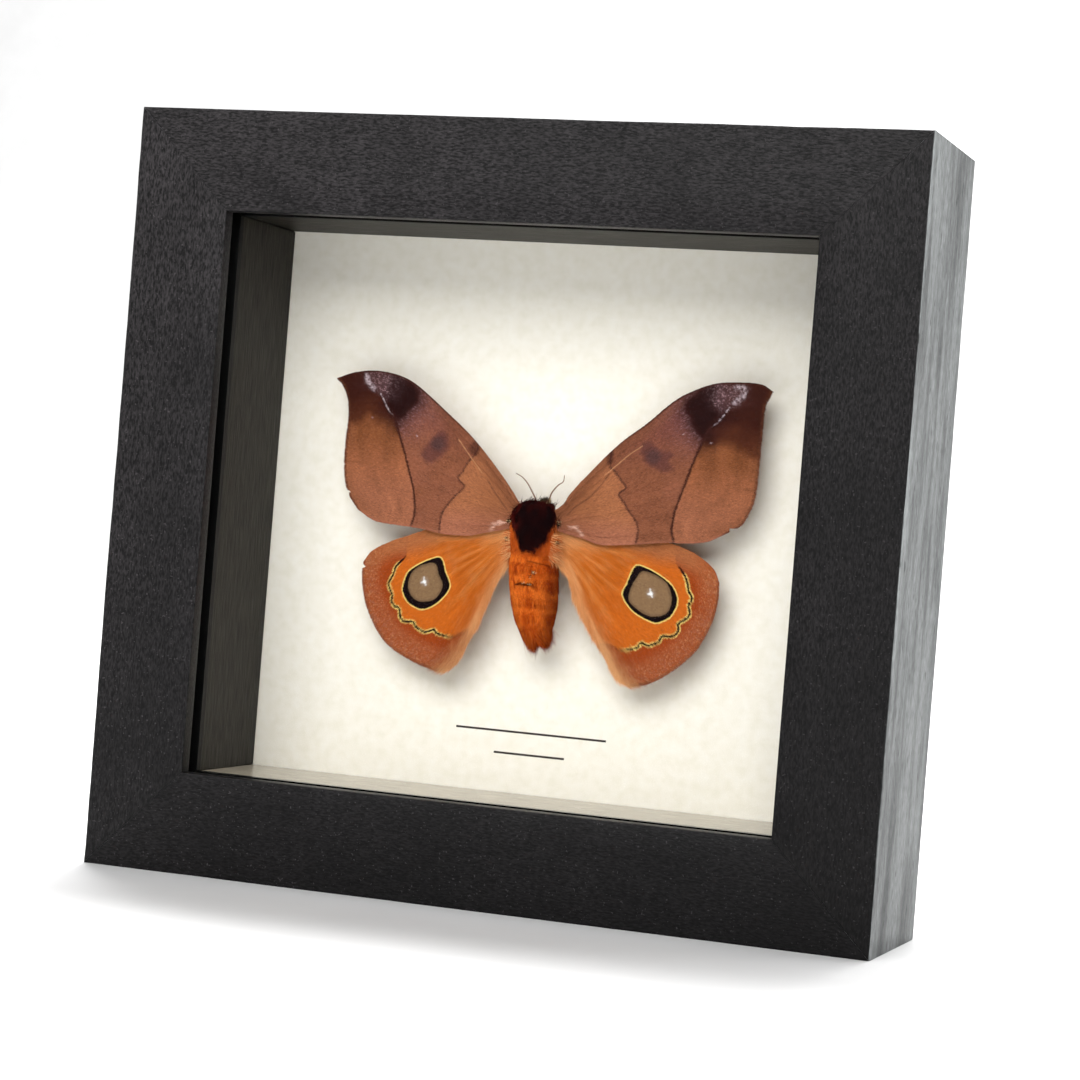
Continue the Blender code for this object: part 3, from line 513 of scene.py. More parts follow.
def painted(name, roughness, specular, grain, relief, spread):
    """Colours held by the mesh, broken up by fine noise, with noise relief."""
    material, tree, shader = new_material(name, roughness, specular)
    paint = node(tree, "ShaderNodeAttribute", attribute_name="paint").outputs["Color"]
    fine = object_noise(tree, (grain,) * 3, 2.0)
    colour = shaded(tree, paint, fine, 0.25, 0.75, 1.0 - spread, 1.0 + spread)
    rough = span(tree, fine, 0.3, 0.7, roughness - 0.08, roughness + 0.1)
    link_shader(tree, shader, colour, rough, fine, relief)
    return material


def speckled(name, roughness, specular, scale, dark, light, relief, metallic=0.0):
    """Two tones of one colour in soft specks, with relief."""
    material, tree, shader = new_material(name, roughness, specular)
    shader.inputs["Metallic"].default_value = metallic
    noise = object_noise(tree, (scale,) * 3, 5.0, 0.6)
    link_shader(tree, shader, ramp(tree, noise, ((0.32, dark), (0.68, light))),
           span(tree, noise, 0.3, 0.7, roughness - 0.06, roughness + 0.08), noise, relief)
    return material


def paper():
    """Matte paper with the cloudy mottle of parchment and fine fibres."""
    material, tree, shader = new_material("parchment", 0.85, 0.3)
    mottle = object_noise(tree, (420.0,) * 3, 4.0, 0.6)
    fibre = object_noise(tree, (2600.0, 2600.0, 1500.0), 2.0)
    tones = ((0.35, srgb(240, 236, 221)), (0.5, srgb(244, 240, 227)), (0.7, srgb(247, 244, 233)))
    link_shader(tree, shader, shaded(tree, ramp(tree, mottle, tones), fibre, 0.2, 0.8, 0.985, 1.015),
           span(tree, fibre, 0.3, 0.7, 0.8, 0.92), fibre, 0.00003)
    return material


def pane_glass():
    """Clear glass that mirrors a little, more at a slant, and lets the rest straight through."""
    material = bpy.data.materials.new("picture_glass")
    material.use_nodes = True
    tree = material.node_tree
    tree.nodes.remove(tree.nodes["Principled BSDF"])
    smudge = object_noise(tree, (45.0,) * 3, 2.0)
    clear = node(tree, "ShaderNodeBsdfTransparent", {"Color": (0.992, 0.992, 0.992, 1.0)})
    mirror = node(tree, "ShaderNodeBsdfGlossy", {"Roughness": span(tree, smudge, 0.3, 0.7, 0.02, 0.06)})
    slant = node(tree, "ShaderNodeFresnel", {"IOR": 1.07})
    both = node(tree, "ShaderNodeMixShader", {0: slant.outputs["Fac"], 1: clear.outputs["BSDF"],
                                              2: mirror.outputs["BSDF"]})
    tree.links.new(both.outputs["Shader"], tree.nodes["Material Output"].inputs["Surface"])
    return material


def compound_eye():
    """Dark, dull eye with hundreds of small facets."""
    material, tree, shader = new_material("compound_eye", 0.5, 0.3)
    cells = node(tree, "ShaderNodeTexVoronoi", {"Vector": on_object(tree), "Scale": 9000.0}).outputs["Distance"]
    link_shader(tree, shader, ramp(tree, cells, ((0.1, srgb(34, 22, 20)), (0.7, srgb(12, 7, 7)))),
           span(tree, cells, 0.0, 0.6, 0.4, 0.65), cells, 0.00004)
    return material


def dress(material, *nodes):
    """Give CAD nodes a material in the place of their plain one."""
    for name in nodes:
        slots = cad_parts[name].data.materials
        if not len(slots):
            slots.append(material)
        for i in range(len(slots)):
            slots[i] = material


# Surfaces held as grids of points


class Sheet:
    """A grid of points over a surface, with the way out and the lie of its coat at each."""

    def __init__(self, points, outward):
        self.points = points
        along = np.gradient(points, axis=0)
        across = np.gradient(points, axis=1)
        out = np.cross(along, across) * outward
        self.area = np.linalg.norm(out, axis=2)
        self.out = out / np.maximum(self.area, 1e-9)[:, :, None]
        self.lie = along / np.maximum(np.linalg.norm(along, axis=2), 1e-9)[:, :, None]

    def scatter(self, density, count, seed):
        """Roots of tufts, thrown over the surface by area and density."""
        rng = np.random.default_rng(seed)
        rows, columns = self.area.shape
        weight = (self.area * density)[:-1, :-1].ravel()
        cells = rng.choice(len(weight), size=count, p=weight / weight.sum())
        i, j = cells // (columns - 1), cells % (columns - 1)
        u, v = rng.random(count), rng.random(count)

        def blend(grid):
            a, b = u[:, None], v[:, None]
            return (grid[i, j] * (1 - a) * (1 - b) + grid[i + 1, j] * a * (1 - b)
                    + grid[i, j + 1] * (1 - a) * b + grid[i + 1, j + 1] * a * b)

        uv = np.stack([(j + v) / (columns - 1), (i + u) / (rows - 1)], axis=1)
        return blend(self.points), blend(self.lie), blend(self.out), uv, rng


def unit(vectors):
    return vectors / np.maximum(np.linalg.norm(vectors, axis=1), 1e-9)[:, None]


def tufts(name, roots, lie, out, length, width, lift, colours, uv, material, replaced, bent=True,
          flat=0.35, tip_highlight=1.08):
    """Closed thin tufts of hair or scales, each with three sides, one of them outwards."""
    lie = unit(lie - out * (lie * out).sum(axis=1)[:, None])
    side = np.cross(lie, out)
    length, width, lift = (np.broadcast_to(v, len(roots))[:, None] for v in (length, width, lift))
    rings = ((0.0, 1.0), (0.5, 0.8)) if bent else ((0.0, 1.0),)
    points, tones, patch = [], [], []
    for share, wide in rings:
        middle = roots + lie * length * share + out * length * lift * share ** 2
        for k in range(3):
            turn = 2 * math.pi * k / 3 - math.pi / 2
            points.append(middle + side * width * (wide * math.cos(turn) / 2)
                          + out * width * (flat * wide * math.sin(turn) / 2))
            # painted shade at each tuft's root, rising to painted light at its tip
            tones.append(ROOT_SHADE + 2 * (1.0 - ROOT_SHADE) * share)
            patch.append((math.cos(turn) * share, math.sin(turn) * 0.5))
    points.append(roots + lie * length + out * length * lift)
    tones.append(tip_highlight)
    patch.append((1.0, 0.0))
    size = len(points)
    count = len(roots)
    base = (np.arange(count) * size)[:, None]
    faces = [(0, 2, 1)]
    for r in range(len(rings) - 1):
        for k in range(3):
            a, b = 3 * r + k, 3 * r + (k + 1) % 3
            faces += [(a, b, b + 3), (a, b + 3, a + 3)]
    last = size - 4
    faces += [(last + k, last + (k + 1) % 3, size - 1) for k in range(3)]
    faces = np.concatenate([base + np.array(face)[None, :] for face in faces])
    points = np.stack(points, axis=1).reshape(-1, 3)
    shades = np.array(tones)[None, :, None] * colours[:, None, :]
    spots = uv[:, None, :] + np.array(patch)[None, :, :] * UV_PATCH / 2
    coat = build(name, points, [faces], material, replaced, colours=shades.reshape(-1, 3),
                 uv=spots.reshape(-1, 2))
    coat.data.shade_flat()


# The wings


def wing_lift(x, z):
    from_body = np.abs(x - BODY_X)
    wave = np.sin(from_body / SWELL_LENGTH * 2 * math.pi) * np.cos((z + 4.0) / SWELL_LENGTH * math.pi)
    return DROOP * from_body + SWELL * wave * np.minimum(from_body / 15.0, 1.0)


def thorax_section(z):
    """The middle's depth, half width and half depth of the thorax at heights z."""
    up = np.clip((z + 2.0) / (THORAX_TOP + 2.0), 0.0, 1.0)
    down = np.clip((-2.0 - z) / (-2.0 - THORAX_END), 0.0, 1.0)
    dome = np.sqrt(np.maximum(1.0 - up ** 2.6, 0.0))
    waist = 1.0 - 0.10 * down ** 2
    return THORAX_DEPTH - 2.3 * up ** 2, THORAX_A * dome * waist, THORAX_B * dome ** 1.2 * waist


def abdomen_section(z):
    """The middle's x, half width and half depth of the abdomen at heights z."""
    start = THORAX_END - GAP
    along = np.clip((start - z) / (start - ABDOMEN_END), 0.0, 1.0)
    neck = 1.0 - 0.04 * (1.0 - np.minimum(along / 0.25, 1.0)) ** 2
    taper = neck * np.sqrt(np.maximum(1.0 - along ** 3.2, 0.0))
    return BODY_X + ABDOMEN_LEAN * along, ABDOMEN_A * taper, ABDOMEN_B * taper


def wing_base(wing, share):
    """Points (x, z) of a wing's root edge, which runs in under the coat of the thorax."""
    z = wing["root"][0] + (wing["root"][1] - wing["root"][0]) * share
    middle, a, b = thorax_section(z)
    inside = np.maximum(1.0 - ((wing["depth"] + SOLID_WING_T - middle) / b) ** 2, 0.0)
    return np.stack([BODY_X + wing["side"] * (a * np.sqrt(inside) - ROOT_SINK), z], axis=-1)


def wing_plan(wing, grid):
    """The wing's points (x, z), in rows from its root to its outer margin, lead to trail."""
    s, t = np.linspace(0.0, 1.0, grid[0])[:, None, None], np.linspace(0.0, 1.0, grid[1])[None, :, None]
    base = wing_base(wing, t[0, :, 0])
    lead = through([base[0], *wing["lead"]], s[:, 0, 0])
    trail = through([base[-1], *wing["trail"], wing["outer"][-1]], s[:, 0, 0])
    outer = through([wing["lead"][-1], *wing["outer"]], t[0, :, 0])
    corners = (1 - s) * ((1 - t) * lead[0] + t * trail[0]) + s * ((1 - t) * lead[-1] + t * trail[-1])
    plan = (1 - t) * lead[:, None] + t * trail[:, None] + (1 - s) * base[None] + s * outer[None] - corners
    middle = plan.mean(axis=(0, 1))
    for x, z, depth, half in wing["nicks"]:
        gap = np.hypot(plan[:, :, 0] - x, plan[:, :, 1] - z)
        inward = unit(np.array([middle - (x, z)]))[0]
        plan = plan + inward * (depth * np.exp(-(gap / half) ** 2))[:, :, None]
    return plan


def vein_relief(plan, veins):
    """Height of the veins and of the slight folds between them."""
    rows, columns = plan.shape[:2]
    s, t = np.linspace(0.0, 1.0, rows)[:, None], np.linspace(0.0, 1.0, columns)[None, :]
    width = np.linalg.norm(np.diff(plan, axis=1), axis=2).sum(axis=1)[:, None]
    length = np.linalg.norm(np.diff(plan, axis=0), axis=2).sum(axis=0)[None, :]
    height = np.zeros((rows, columns))
    edges = [0.0] + [middle for middle, _ in veins] + [1.0]
    for middle, start in veins:
        shown = smooth(s, start - 0.01, start + 0.01) if start else np.ones_like(s)
        ridge = np.exp(-((t - middle) * width / VEIN_W) ** 2) * shown * (1.1 - 0.7 * s)
        height = np.maximum(height, ridge * VEIN_H)
    cross = np.exp(-((s - CELL_END) * length / VEIN_W) ** 2) * (t > CELL_VEINS[0]) * (t < CELL_VEINS[1])
    height = np.maximum(height, cross * VEIN_H * 0.25)
    fold = np.zeros_like(t)
    for low, high in zip(edges[:-1], edges[1:]):
        within = (t >= low) & (t <= high)
        fold = np.where(within, np.sin((t - low) / (high - low) * math.pi), fold)
    return height - 0.10 * fold * smooth(s, 0.05, 0.3) * (1.0 - 0.6 * s)


def wing_sheet(wing, grid, veins):
    plan = wing_plan(wing, grid)
    x, z = plan[:, :, 0], plan[:, :, 1]
    depth = wing["depth"] + wing_lift(x, z) - vein_relief(plan, veins)
    points = np.stack([x, depth, z], axis=2)
    sheet = Sheet(points, 1.0)
    if sheet.out[:, :, 1].mean() > 0:
        sheet.out = -sheet.out
    return sheet


def membrane(name, sheet, paint, material, replaced):
    """Both faces of a thin wing and the rim that joins them."""
    rows, columns = sheet.area.shape
    front = sheet.points.reshape(-1, 3)
    rear = front + (0.0, MEMBRANE_T, 0.0)
    index = np.arange(rows * columns).reshape(rows, columns)
    a, b = index[:-1, :-1].ravel(), index[:-1, 1:].ravel()
    c, d = index[1:, 1:].ravel(), index[1:, :-1].ravel()
    faces = np.stack([a, b, c, d], axis=1)
    rim = np.concatenate([index[0, :-1], index[:-1, -1], index[-1, :0:-1], index[:0:-1, 0]])
    after = np.roll(rim, -1)
    shift = len(front)
    sides = np.stack([after, rim, rim + shift, after + shift], axis=1)
    if np.cross(front[b[0]] - front[a[0]], front[d[0]] - front[a[0]])[1] > 0:
        faces, sides = faces[:, ::-1], sides[:, ::-1]
    colours = paint(front[:, ::2])
    under = colours * 0.55 + srgb(150, 100, 70) * 0.45
    u, v = np.meshgrid(np.linspace(0.0, 1.0, columns), np.linspace(0.0, 1.0, rows))
    front_uv = np.stack([u.ravel() * 0.48, v.ravel()], axis=1)
    uv = np.vstack([front_uv, front_uv + (0.52, 0.0)])
    return build(name, np.vstack([front, rear]), [faces, faces[:, ::-1] + shift, sides], material,
                 replaced, colours=np.vstack([colours, under]), uv=uv)


def line_mask(points, route, width, soft=0.18):
    """A soft line's strength at each point, the share along it, and the distance from it."""
    gap, where = away(points, route)
    return 1.0 - smooth(gap, width / 2 - soft / 2, width / 2 + soft / 2), where, gap


def near(points, centre, radius):
    return 1.0 - smooth(np.hypot(points[:, 0] - centre[0], points[:, 1] - centre[1]), radius * 0.3, radius)


def edge_gap(points, wing):
    """Distance from the front edge, the outer margin and the hind edge of a wing."""
    share = np.linspace(0.0, 1.0, 60)
    base = wing_base(wing, np.array((0.0, 1.0)))
    lead = through([base[0], *wing["lead"]], share)
    trail = through([base[1], *wing["trail"], wing["outer"][-1]], share)
    outer = through([wing["lead"][-1], *wing["outer"]], share)
    return [away(points, route)[0] for route in (lead, outer, trail)]


TAN = srgb(154, 97, 64)
TAN_PINK = srgb(152, 95, 74)
COSTA_BROWN = srgb(116, 70, 48)
MAUVE = srgb(124, 75, 52)
MAUVE_DARK = srgb(98, 54, 50)
OUTER_TAN = srgb(147, 90, 60)
OUTER_PINK = srgb(150, 94, 68)
OUTER_GOLD = srgb(114, 66, 36)
APEX = srgb(68, 31, 18)
APEX_TIP = srgb(48, 18, 11)
BLACKISH = srgb(30, 8, 7)
LINE = srgb(50, 22, 18)
INNER_LINE = srgb(66, 36, 30)
SPOT = srgb(84, 49, 46)
SPOT_CORE = srgb(68, 48, 48)
FROST = srgb(196, 180, 186)
FRAYED = srgb(236, 196, 176)
PALE_VEIN = srgb(206, 154, 110)
MARGIN = srgb(60, 30, 22)


def fore_paint(wing):
    """The colours of a fore wing, as a function of points (x, z)."""
    side = wing["side"]
    dense = np.linspace(0.0, 1.0, 90)
    inner = through(wing["inner_line"], dense)
    outer = through(wing["outer_line"], dense)
    far = 60.0 * side
    basal = np.vstack([inner, [[inner[-1][0], -30.0], [0.0, -30.0], [0.0, 40.0], [inner[0][0], 40.0]]])
    beyond = np.vstack([outer, [[outer[-1][0], -30.0], [far, -30.0], [far, outer[0][1]]]])
    spot = closed(wing["cell_spot"], 60)
    frost = closed(wing["frost"], 50)
    patch = closed(wing["patch"], 50)
    costal = closed(wing["costal_spot"], 30)
    frayed = closed(wing["frayed"], 30)
    vein = through(wing["bare_vein"], np.linspace(0.0, 1.0, 30))
    fold, crescent = (through(wing[key], np.linspace(0.0, 1.0, 20)) for key in ("fold", "crescent"))
    apex = np.array(wing["apex"])

    def paint(p):
        jitter = (cloud(p, 0.9, 3) - 0.5) * 0.5
        broad = cloud(p, 7.0, 5)
        mid = cloud(p, 2.2, 8)
        shaken = p + jitter[:, None] * 0.2
        fine = cloud(p, 0.34, 12, octaves=2)
        lead_gap, outer_gap, trail_gap = edge_gap(p, wing)
        colour = mix(MAUVE, MAUVE_DARK, smooth(p[:, 1], 9.0, 24.0) * 0.85)
        colour = mix(colour, COSTA_BROWN, (1.0 - smooth(lead_gap, 0.6, 3.6)) * 0.6)
        colour = mix(colour, TAN_PINK * 0.9, smooth(broad, 0.5, 0.8) * 0.3) * (0.88 + 0.24 * mid)[:, None]
        basal_in = depth_in(p, basal) + jitter * 0.4
        base = mix(TAN, TAN_PINK, smooth(3.0 - p[:, 1], 0.0, 6.0) * 0.7)
        base = mix(base, COSTA_BROWN, (1.0 - smooth(lead_gap, 0.5, 3.4)) * 0.7)
        base = mix(base, COSTA_BROWN, smooth(basal_in, 2.4, 0.0) * 0.15)
        colour = mix(colour, base, smooth(basal_in, -0.15, 0.15))
        beyond_in = depth_in(p, beyond)
        rest = mix(OUTER_TAN, OUTER_PINK, smooth(10.0 - p[:, 1], 0.0, 8.0) * (0.5 + 0.5 * broad))
        rest = mix(rest, OUTER_GOLD, smooth(p[:, 1], 7.0, 15.0) * (0.6 + 0.4 * mid))
        rest = mix(rest, OUTER_TAN * 0.72, (1.0 - smooth(outer_gap, 0.3, 3.0)) * 0.45)
        stripes = cloud(np.stack([outer_gap * 0.55, p[:, 1] * 0.16], axis=1), 1.0, 17)
        rest = rest * (0.76 + 0.48 * stripes)[:, None]
        # painted shade along a crease near the outer margin
        crease = np.exp(-((p[:, 1] - 7.4 - 0.03 * np.abs(p[:, 0])) / 0.35) ** 2)
        rest = mix(rest, OUTER_TAN * 0.6, crease * (1.0 - smooth(outer_gap, 1.0, 6.0)) * 0.5)
        colour = mix(colour, rest, smooth(beyond_in + jitter * 0.3, -0.15, 0.15))
        in_apex = depth_in(p, apex) + (mid - 0.5) * 2.6
        colour = mix(colour, APEX, smooth(in_apex, -2.6, 1.0) * 0.94)
        colour = mix(colour, APEX_TIP, smooth(in_apex, 0.8, 5.5) * 0.85)
        violet = depth_in(p, patch) + (mid - 0.5) * 1.2
        colour = mix(colour, BLACKISH * 1.8, smooth(violet, -4.2, 0.6) * 0.8)
        colour = mix(colour, BLACKISH, smooth(violet, -1.6, 1.6) * 0.95)
        colour = mix(colour, INNER_LINE, line_mask(shaken, inner, 0.34, 0.25)[0] * 0.9)
        colour = mix(colour, SPOT, smooth(depth_in(p, spot) + jitter * 1.6, -0.7, 0.7) * 0.75)
        colour = mix(colour, SPOT_CORE, near(p, wing["cell_core"], 2.2) * 0.65)
        colour = mix(colour, LINE, smooth(depth_in(p, costal) + jitter, -0.3, 0.3) * 0.6)
        outer_mask, where, _ = line_mask(shaken, outer, 0.46, 0.25)
        lit = 1.0 - smooth(where, 0.13, 0.19)
        colour = mix(colour, LINE, outer_mask * (1.0 - lit) * 0.95)
        white, _, _ = line_mask(p + jitter[:, None] * 0.3, outer, 0.22, 0.2)
        broken = smooth(fine + 0.3 * mid, 0.42, 0.66)
        colour = mix(colour, FROST, white * lit * broken * 0.75)
        frost_in = smooth(depth_in(p, frost) + (mid - 0.5) * 1.5, -1.2, 1.8)
        specks = smooth(cloud(p, 0.12, 14, octaves=1), 0.6, 0.9)
        frost_in *= 1.0 - 0.7 * smooth(violet, -0.6, 1.2)
        colour = mix(colour, FROST * (0.8, 0.62, 0.62), frost_in * (0.06 + specks * 0.5))
        moon, _, _ = line_mask(p + jitter[:, None] * 0.4, crescent, 0.9, 0.8)
        colour = mix(colour, FROST, moon * smooth(fine, 0.2, 0.6) * 0.75)
        violet_dust = np.exp(-(np.maximum(-violet, 0.0) / 4.5) ** 2) * smooth(-beyond_in, 0.0, 1.0)
        violet_dust *= 1.0 - smooth(violet, -0.6, 0.4)
        colour = mix(colour, FROST * (0.6, 0.42, 0.44), violet_dust * (0.05 + specks * 0.35))
        colour = mix(colour, PALE_VEIN, line_mask(p, vein, 0.17, 0.15)[0] * 0.5)
        # painted shade along a fold of the wing
        colour = mix(colour, INNER_LINE, line_mask(p, fold, 0.24, 0.25)[0] * 0.55)
        ragged = smooth(depth_in(p, frayed) + (fine - 0.5) * 1.2, -0.1, 0.3)
        colour = mix(colour, FRAYED, ragged * (0.2 + 0.5 * smooth(mid + 0.5 * fine, 0.6, 0.95)))
        for dot in wing["pale_dots"]:
            colour = mix(colour, FROST, near(p, dot, 0.24) * 0.4)
        outward = smooth(np.abs(p[:, 0] - BODY_X), 10.0, 24.0)
        colour = mix(colour, MARGIN, (1.0 - smooth(lead_gap, 0.15, 0.45)) * 0.85 * outward)
        colour = mix(colour, MARGIN, (1.0 - smooth(outer_gap, 0.12, 0.42)) * 0.7)
        colour = mix(colour, TAN_PINK * 1.1, (1.0 - smooth(trail_gap, 0.2, 0.7)) * 0.35)
        grain = cloud(p, 0.16, 15, octaves=1)
        return colour * (0.75 + 0.18 * fine + 0.34 * grain)[:, None]

    return paint


ORANGE = srgb(199, 107, 36)
ORANGE_DEEP = srgb(189, 93, 24)
ORANGE_PALE = srgb(218, 140, 70)
COSTA_PALE = srgb(220, 156, 100)
DUSKY = srgb(160, 98, 60)
RUSSET = srgb(146, 62, 22)
MARGIN_PINK = srgb(148, 74, 40)
MARGIN_GREY = srgb(142, 84, 60)
CREAM = srgb(220, 165, 112)
RING = srgb(16, 5, 6)
YELLOW = srgb(220, 192, 108)
TAUPE = srgb(130, 102, 73)
FLECK = srgb(245, 245, 245)
FLECK_RAYS = (((-0.25, 0.85), (0.0, 0.0)), ((-0.6, -0.15), (0.15, 0.0)), ((0.05, 0.0), (0.35, -0.6)))


def hind_paint(wing):
    """The colours of a hind wing, as a function of points (x, z)."""
    side = wing["side"]
    wave = through(wing["wave"], np.linspace(0.0, 1.0, 140))
    far = 60.0 * side
    beyond = np.vstack([wave, [[wave[-1][0] - 4.0 * side, -24.0], [wave[-1][0] - 4.0 * side, -45.0],
                               [far, -45.0], [far, wave[0][1] + 6.0], [wave[0][0] - 1.0 * side, 0.0]]])
    spot = closed(wing["eye_spot"], 120)
    core = closed(wing["eye_core"], 90)
    root = np.array((BODY_X + side * 4.0, -3.0))

    def paint(p):
        jitter = (cloud(p, 0.8, 43) - 0.5) * 0.4
        broad = cloud(p, 6.0, 45)
        fine = cloud(p, 0.36, 55, octaves=2)
        lead_gap, outer_gap, trail_gap = edge_gap(p, wing)
        ray = p - root
        reach = np.hypot(ray[:, 0], ray[:, 1])
        bearing = np.arctan2(ray[:, 1], ray[:, 0] * side)
        streaks = cloud(np.stack([bearing * 16.0, reach * 0.10], axis=1), 1.0, 47)
        colour = mix(ORANGE, ORANGE_PALE, (1.0 - smooth(reach, 1.0, 9.0)) * 0.35)
        colour = mix(colour, ORANGE_DEEP, smooth(reach, 9.0, 22.0) * 0.85)
        pale = smooth(streaks, 0.5, 0.75) * (1.0 - smooth(reach, 10.0, 26.0))
        colour = mix(colour, ORANGE_PALE, pale * 0.5)
        colour = mix(colour, ORANGE_DEEP * 0.9, smooth(0.46 - streaks, 0.0, 0.2) * 0.45)
        out = depth_in(p, beyond)
        outside = smooth(out, -0.1, 0.1)
        pink = 4.4 - 1.6 * smooth(p[:, 1], -22.0, -12.0) + (broad - 0.5) * 1.5
        band = mix(RUSSET, MARGIN_PINK, smooth(pink - outer_gap, -1.4, 1.4))
        band = mix(band, MARGIN_GREY, smooth(fine, 0.45, 0.65) * (1.0 - smooth(outer_gap, 0.5, 5.0)) * 0.7)
        colour = mix(colour, band, outside)
        costal = 1.0 - smooth(lead_gap + (broad - 0.5) * 2.0, 1.2, 5.4)
        costal *= 1.0 - 0.8 * smooth(reach, 27.0, 35.0)
        colour = mix(colour, mix(DUSKY, COSTA_PALE, 1.0 - smooth(reach, 3.0, 22.0)),
                     costal * 0.9)
        inner_edge = 1.0 - smooth(trail_gap, 0.2, 2.4)
        colour = mix(colour, CREAM, inner_edge * (0.2 + 0.55 * smooth(streaks, 0.35, 0.65)))
        line, where, gap = line_mask(p, wave, 0.42, 0.12)
        ends = smooth(where, 0.0, 0.05) * (0.35 + 0.65 * (1.0 - smooth(where, 0.80, 0.9)))
        halo = (1.0 - smooth(gap, 0.36, 0.5)) * smooth(where, 0.06, 0.1) * (1.0 - smooth(where, 0.8, 0.9))
        colour = mix(colour, YELLOW, halo * (0.6 + 0.4 * smooth(cloud(p, 0.9, 51), 0.3, 0.6)))
        colour = mix(colour, RING * 1.4, line * ends)
        deep = depth_in(p, spot) + jitter * 0.12
        colour = mix(colour, YELLOW, smooth(deep, -0.04, 0.06))
        colour = mix(colour, RING, smooth(deep, 0.22, 0.32))
        heart = depth_in(p, core) + jitter * 0.25
        colour = mix(colour, TAUPE * 0.7, smooth(heart, -0.08, 0.08))
        colour = mix(colour, TAUPE, smooth(heart, 0.05, 0.7))
        colour = mix(colour, FLECK, near(p, wing["flecks"], 1.4) * 0.08)
        colour = mix(colour, FLECK, near(p, wing["flecks"], 0.6) * 0.7)
        for ray_ends in FLECK_RAYS:
            ends_at = np.array(wing["flecks"]) + ray_ends
            colour = mix(colour, FLECK, line_mask(p + jitter[:, None] * 0.3, ends_at, 0.26, 0.4)[0] * 0.7)
        dust = smooth(cloud(p, 0.14, 58, octaves=1), 0.6, 0.9) * outside * smooth(5.5 - outer_gap, 0.0, 3.0)
        colour = mix(colour, CREAM, dust * 0.28)
        colour = mix(colour, MARGIN, (1.0 - smooth(outer_gap, 0.12, 0.42)) * 0.5)
        grain = cloud(p, 0.16, 59, octaves=1)
        return colour * (0.82 + 0.14 * fine + 0.22 * grain)[:, None]

    return paint


def varied(colours, rng, spread):
    """Colours that differ a little from tuft to tuft."""
    return colours * (1.0 + spread * rng.standard_normal((len(colours), 1))).clip(0.5, 1.6)


def pick(keep, *arrays):
    return [array[keep] for array in arrays]


def tilted(lie, out, amount):
    """Directions turned sideways in the surface by an amount for each."""
    return lie + np.cross(lie, out) * np.asarray(amount)[:, None]


def along_middle(roots, lie, length):
    """Where the middle of each lying tuft is, as seen from the front."""
    return (roots + unit(lie) * np.asarray(length)[:, None] * 0.5)[:, ::2]


def scales(name, node_name, sheet, density, count, length, spread, paint, materials, seed):
    """Short scales that lie on a wing, coloured as the wing is under their middles."""
    roots, lie, out, uv, rng = sheet.scatter(density, count, seed)
    long = length(roots) * (1.0 + 0.18 * rng.standard_normal(count).clip(-2, 2))
    lie = tilted(lie, out, 0.06 * rng.standard_normal(count))
    colours = varied(paint(along_middle(roots, lie, long)), rng, spread)
    tufts(name + ".scales", roots, lie, out, long, 0.19, 0.015 + 0.02 * rng.random(count), colours,
          uv, materials["scale"], [node_name], bent=False, flat=0.15, tip_highlight=1.03)


def dress_fore_wing(name, node_name, wing, materials, seed):
    sheet = wing_sheet(wing, FORE_GRID, FORE_VEINS)
    paint = fore_paint(wing)
    membrane(name, sheet, paint, materials["wing"], [node_name])
    reach = np.abs(sheet.points[:, :, 0] - BODY_X)
    frost = closed(wing["frost"], 30)

    def length(p):
        from_body = np.exp(-np.abs(p[:, 0] - BODY_X) / 12.0)
        return 0.42 + 0.5 * from_body - 0.2 * smooth(depth_in(p[:, ::2], frost), -4.0, -1.0)

    scales(name, node_name, sheet, np.ones_like(reach), 31000, length, 0.14, paint, materials,
           seed)
    roots, lie, out, uv, rng = sheet.scatter(np.exp(-(reach / 6.0) ** 2), 12000, seed + 1)
    lead_gap, _, _ = edge_gap(roots[:, ::2], wing)
    roots, lie, out, uv = pick(lead_gap > 0.9, roots, lie, out, uv)
    length = (1.2 + 1.3 * rng.random(len(roots))) * np.exp(-np.abs(roots[:, 0] - BODY_X) / 18.0)
    clump = cloud(roots[:, ::2], 1.1, seed) - 0.5
    lie = tilted(lie, out, 0.5 * clump + 0.12 * rng.standard_normal(len(roots)))
    colours = varied(paint(along_middle(roots, lie, length)), rng, 0.12)
    tufts(name + ".hair", roots, lie, out, length, 0.10, 0.04 + 0.08 * rng.random(len(roots)), colours,
          uv, materials["fur"], [node_name], bent=False)
    margin_fringe(name, node_name, sheet, paint, materials, seed + 2)


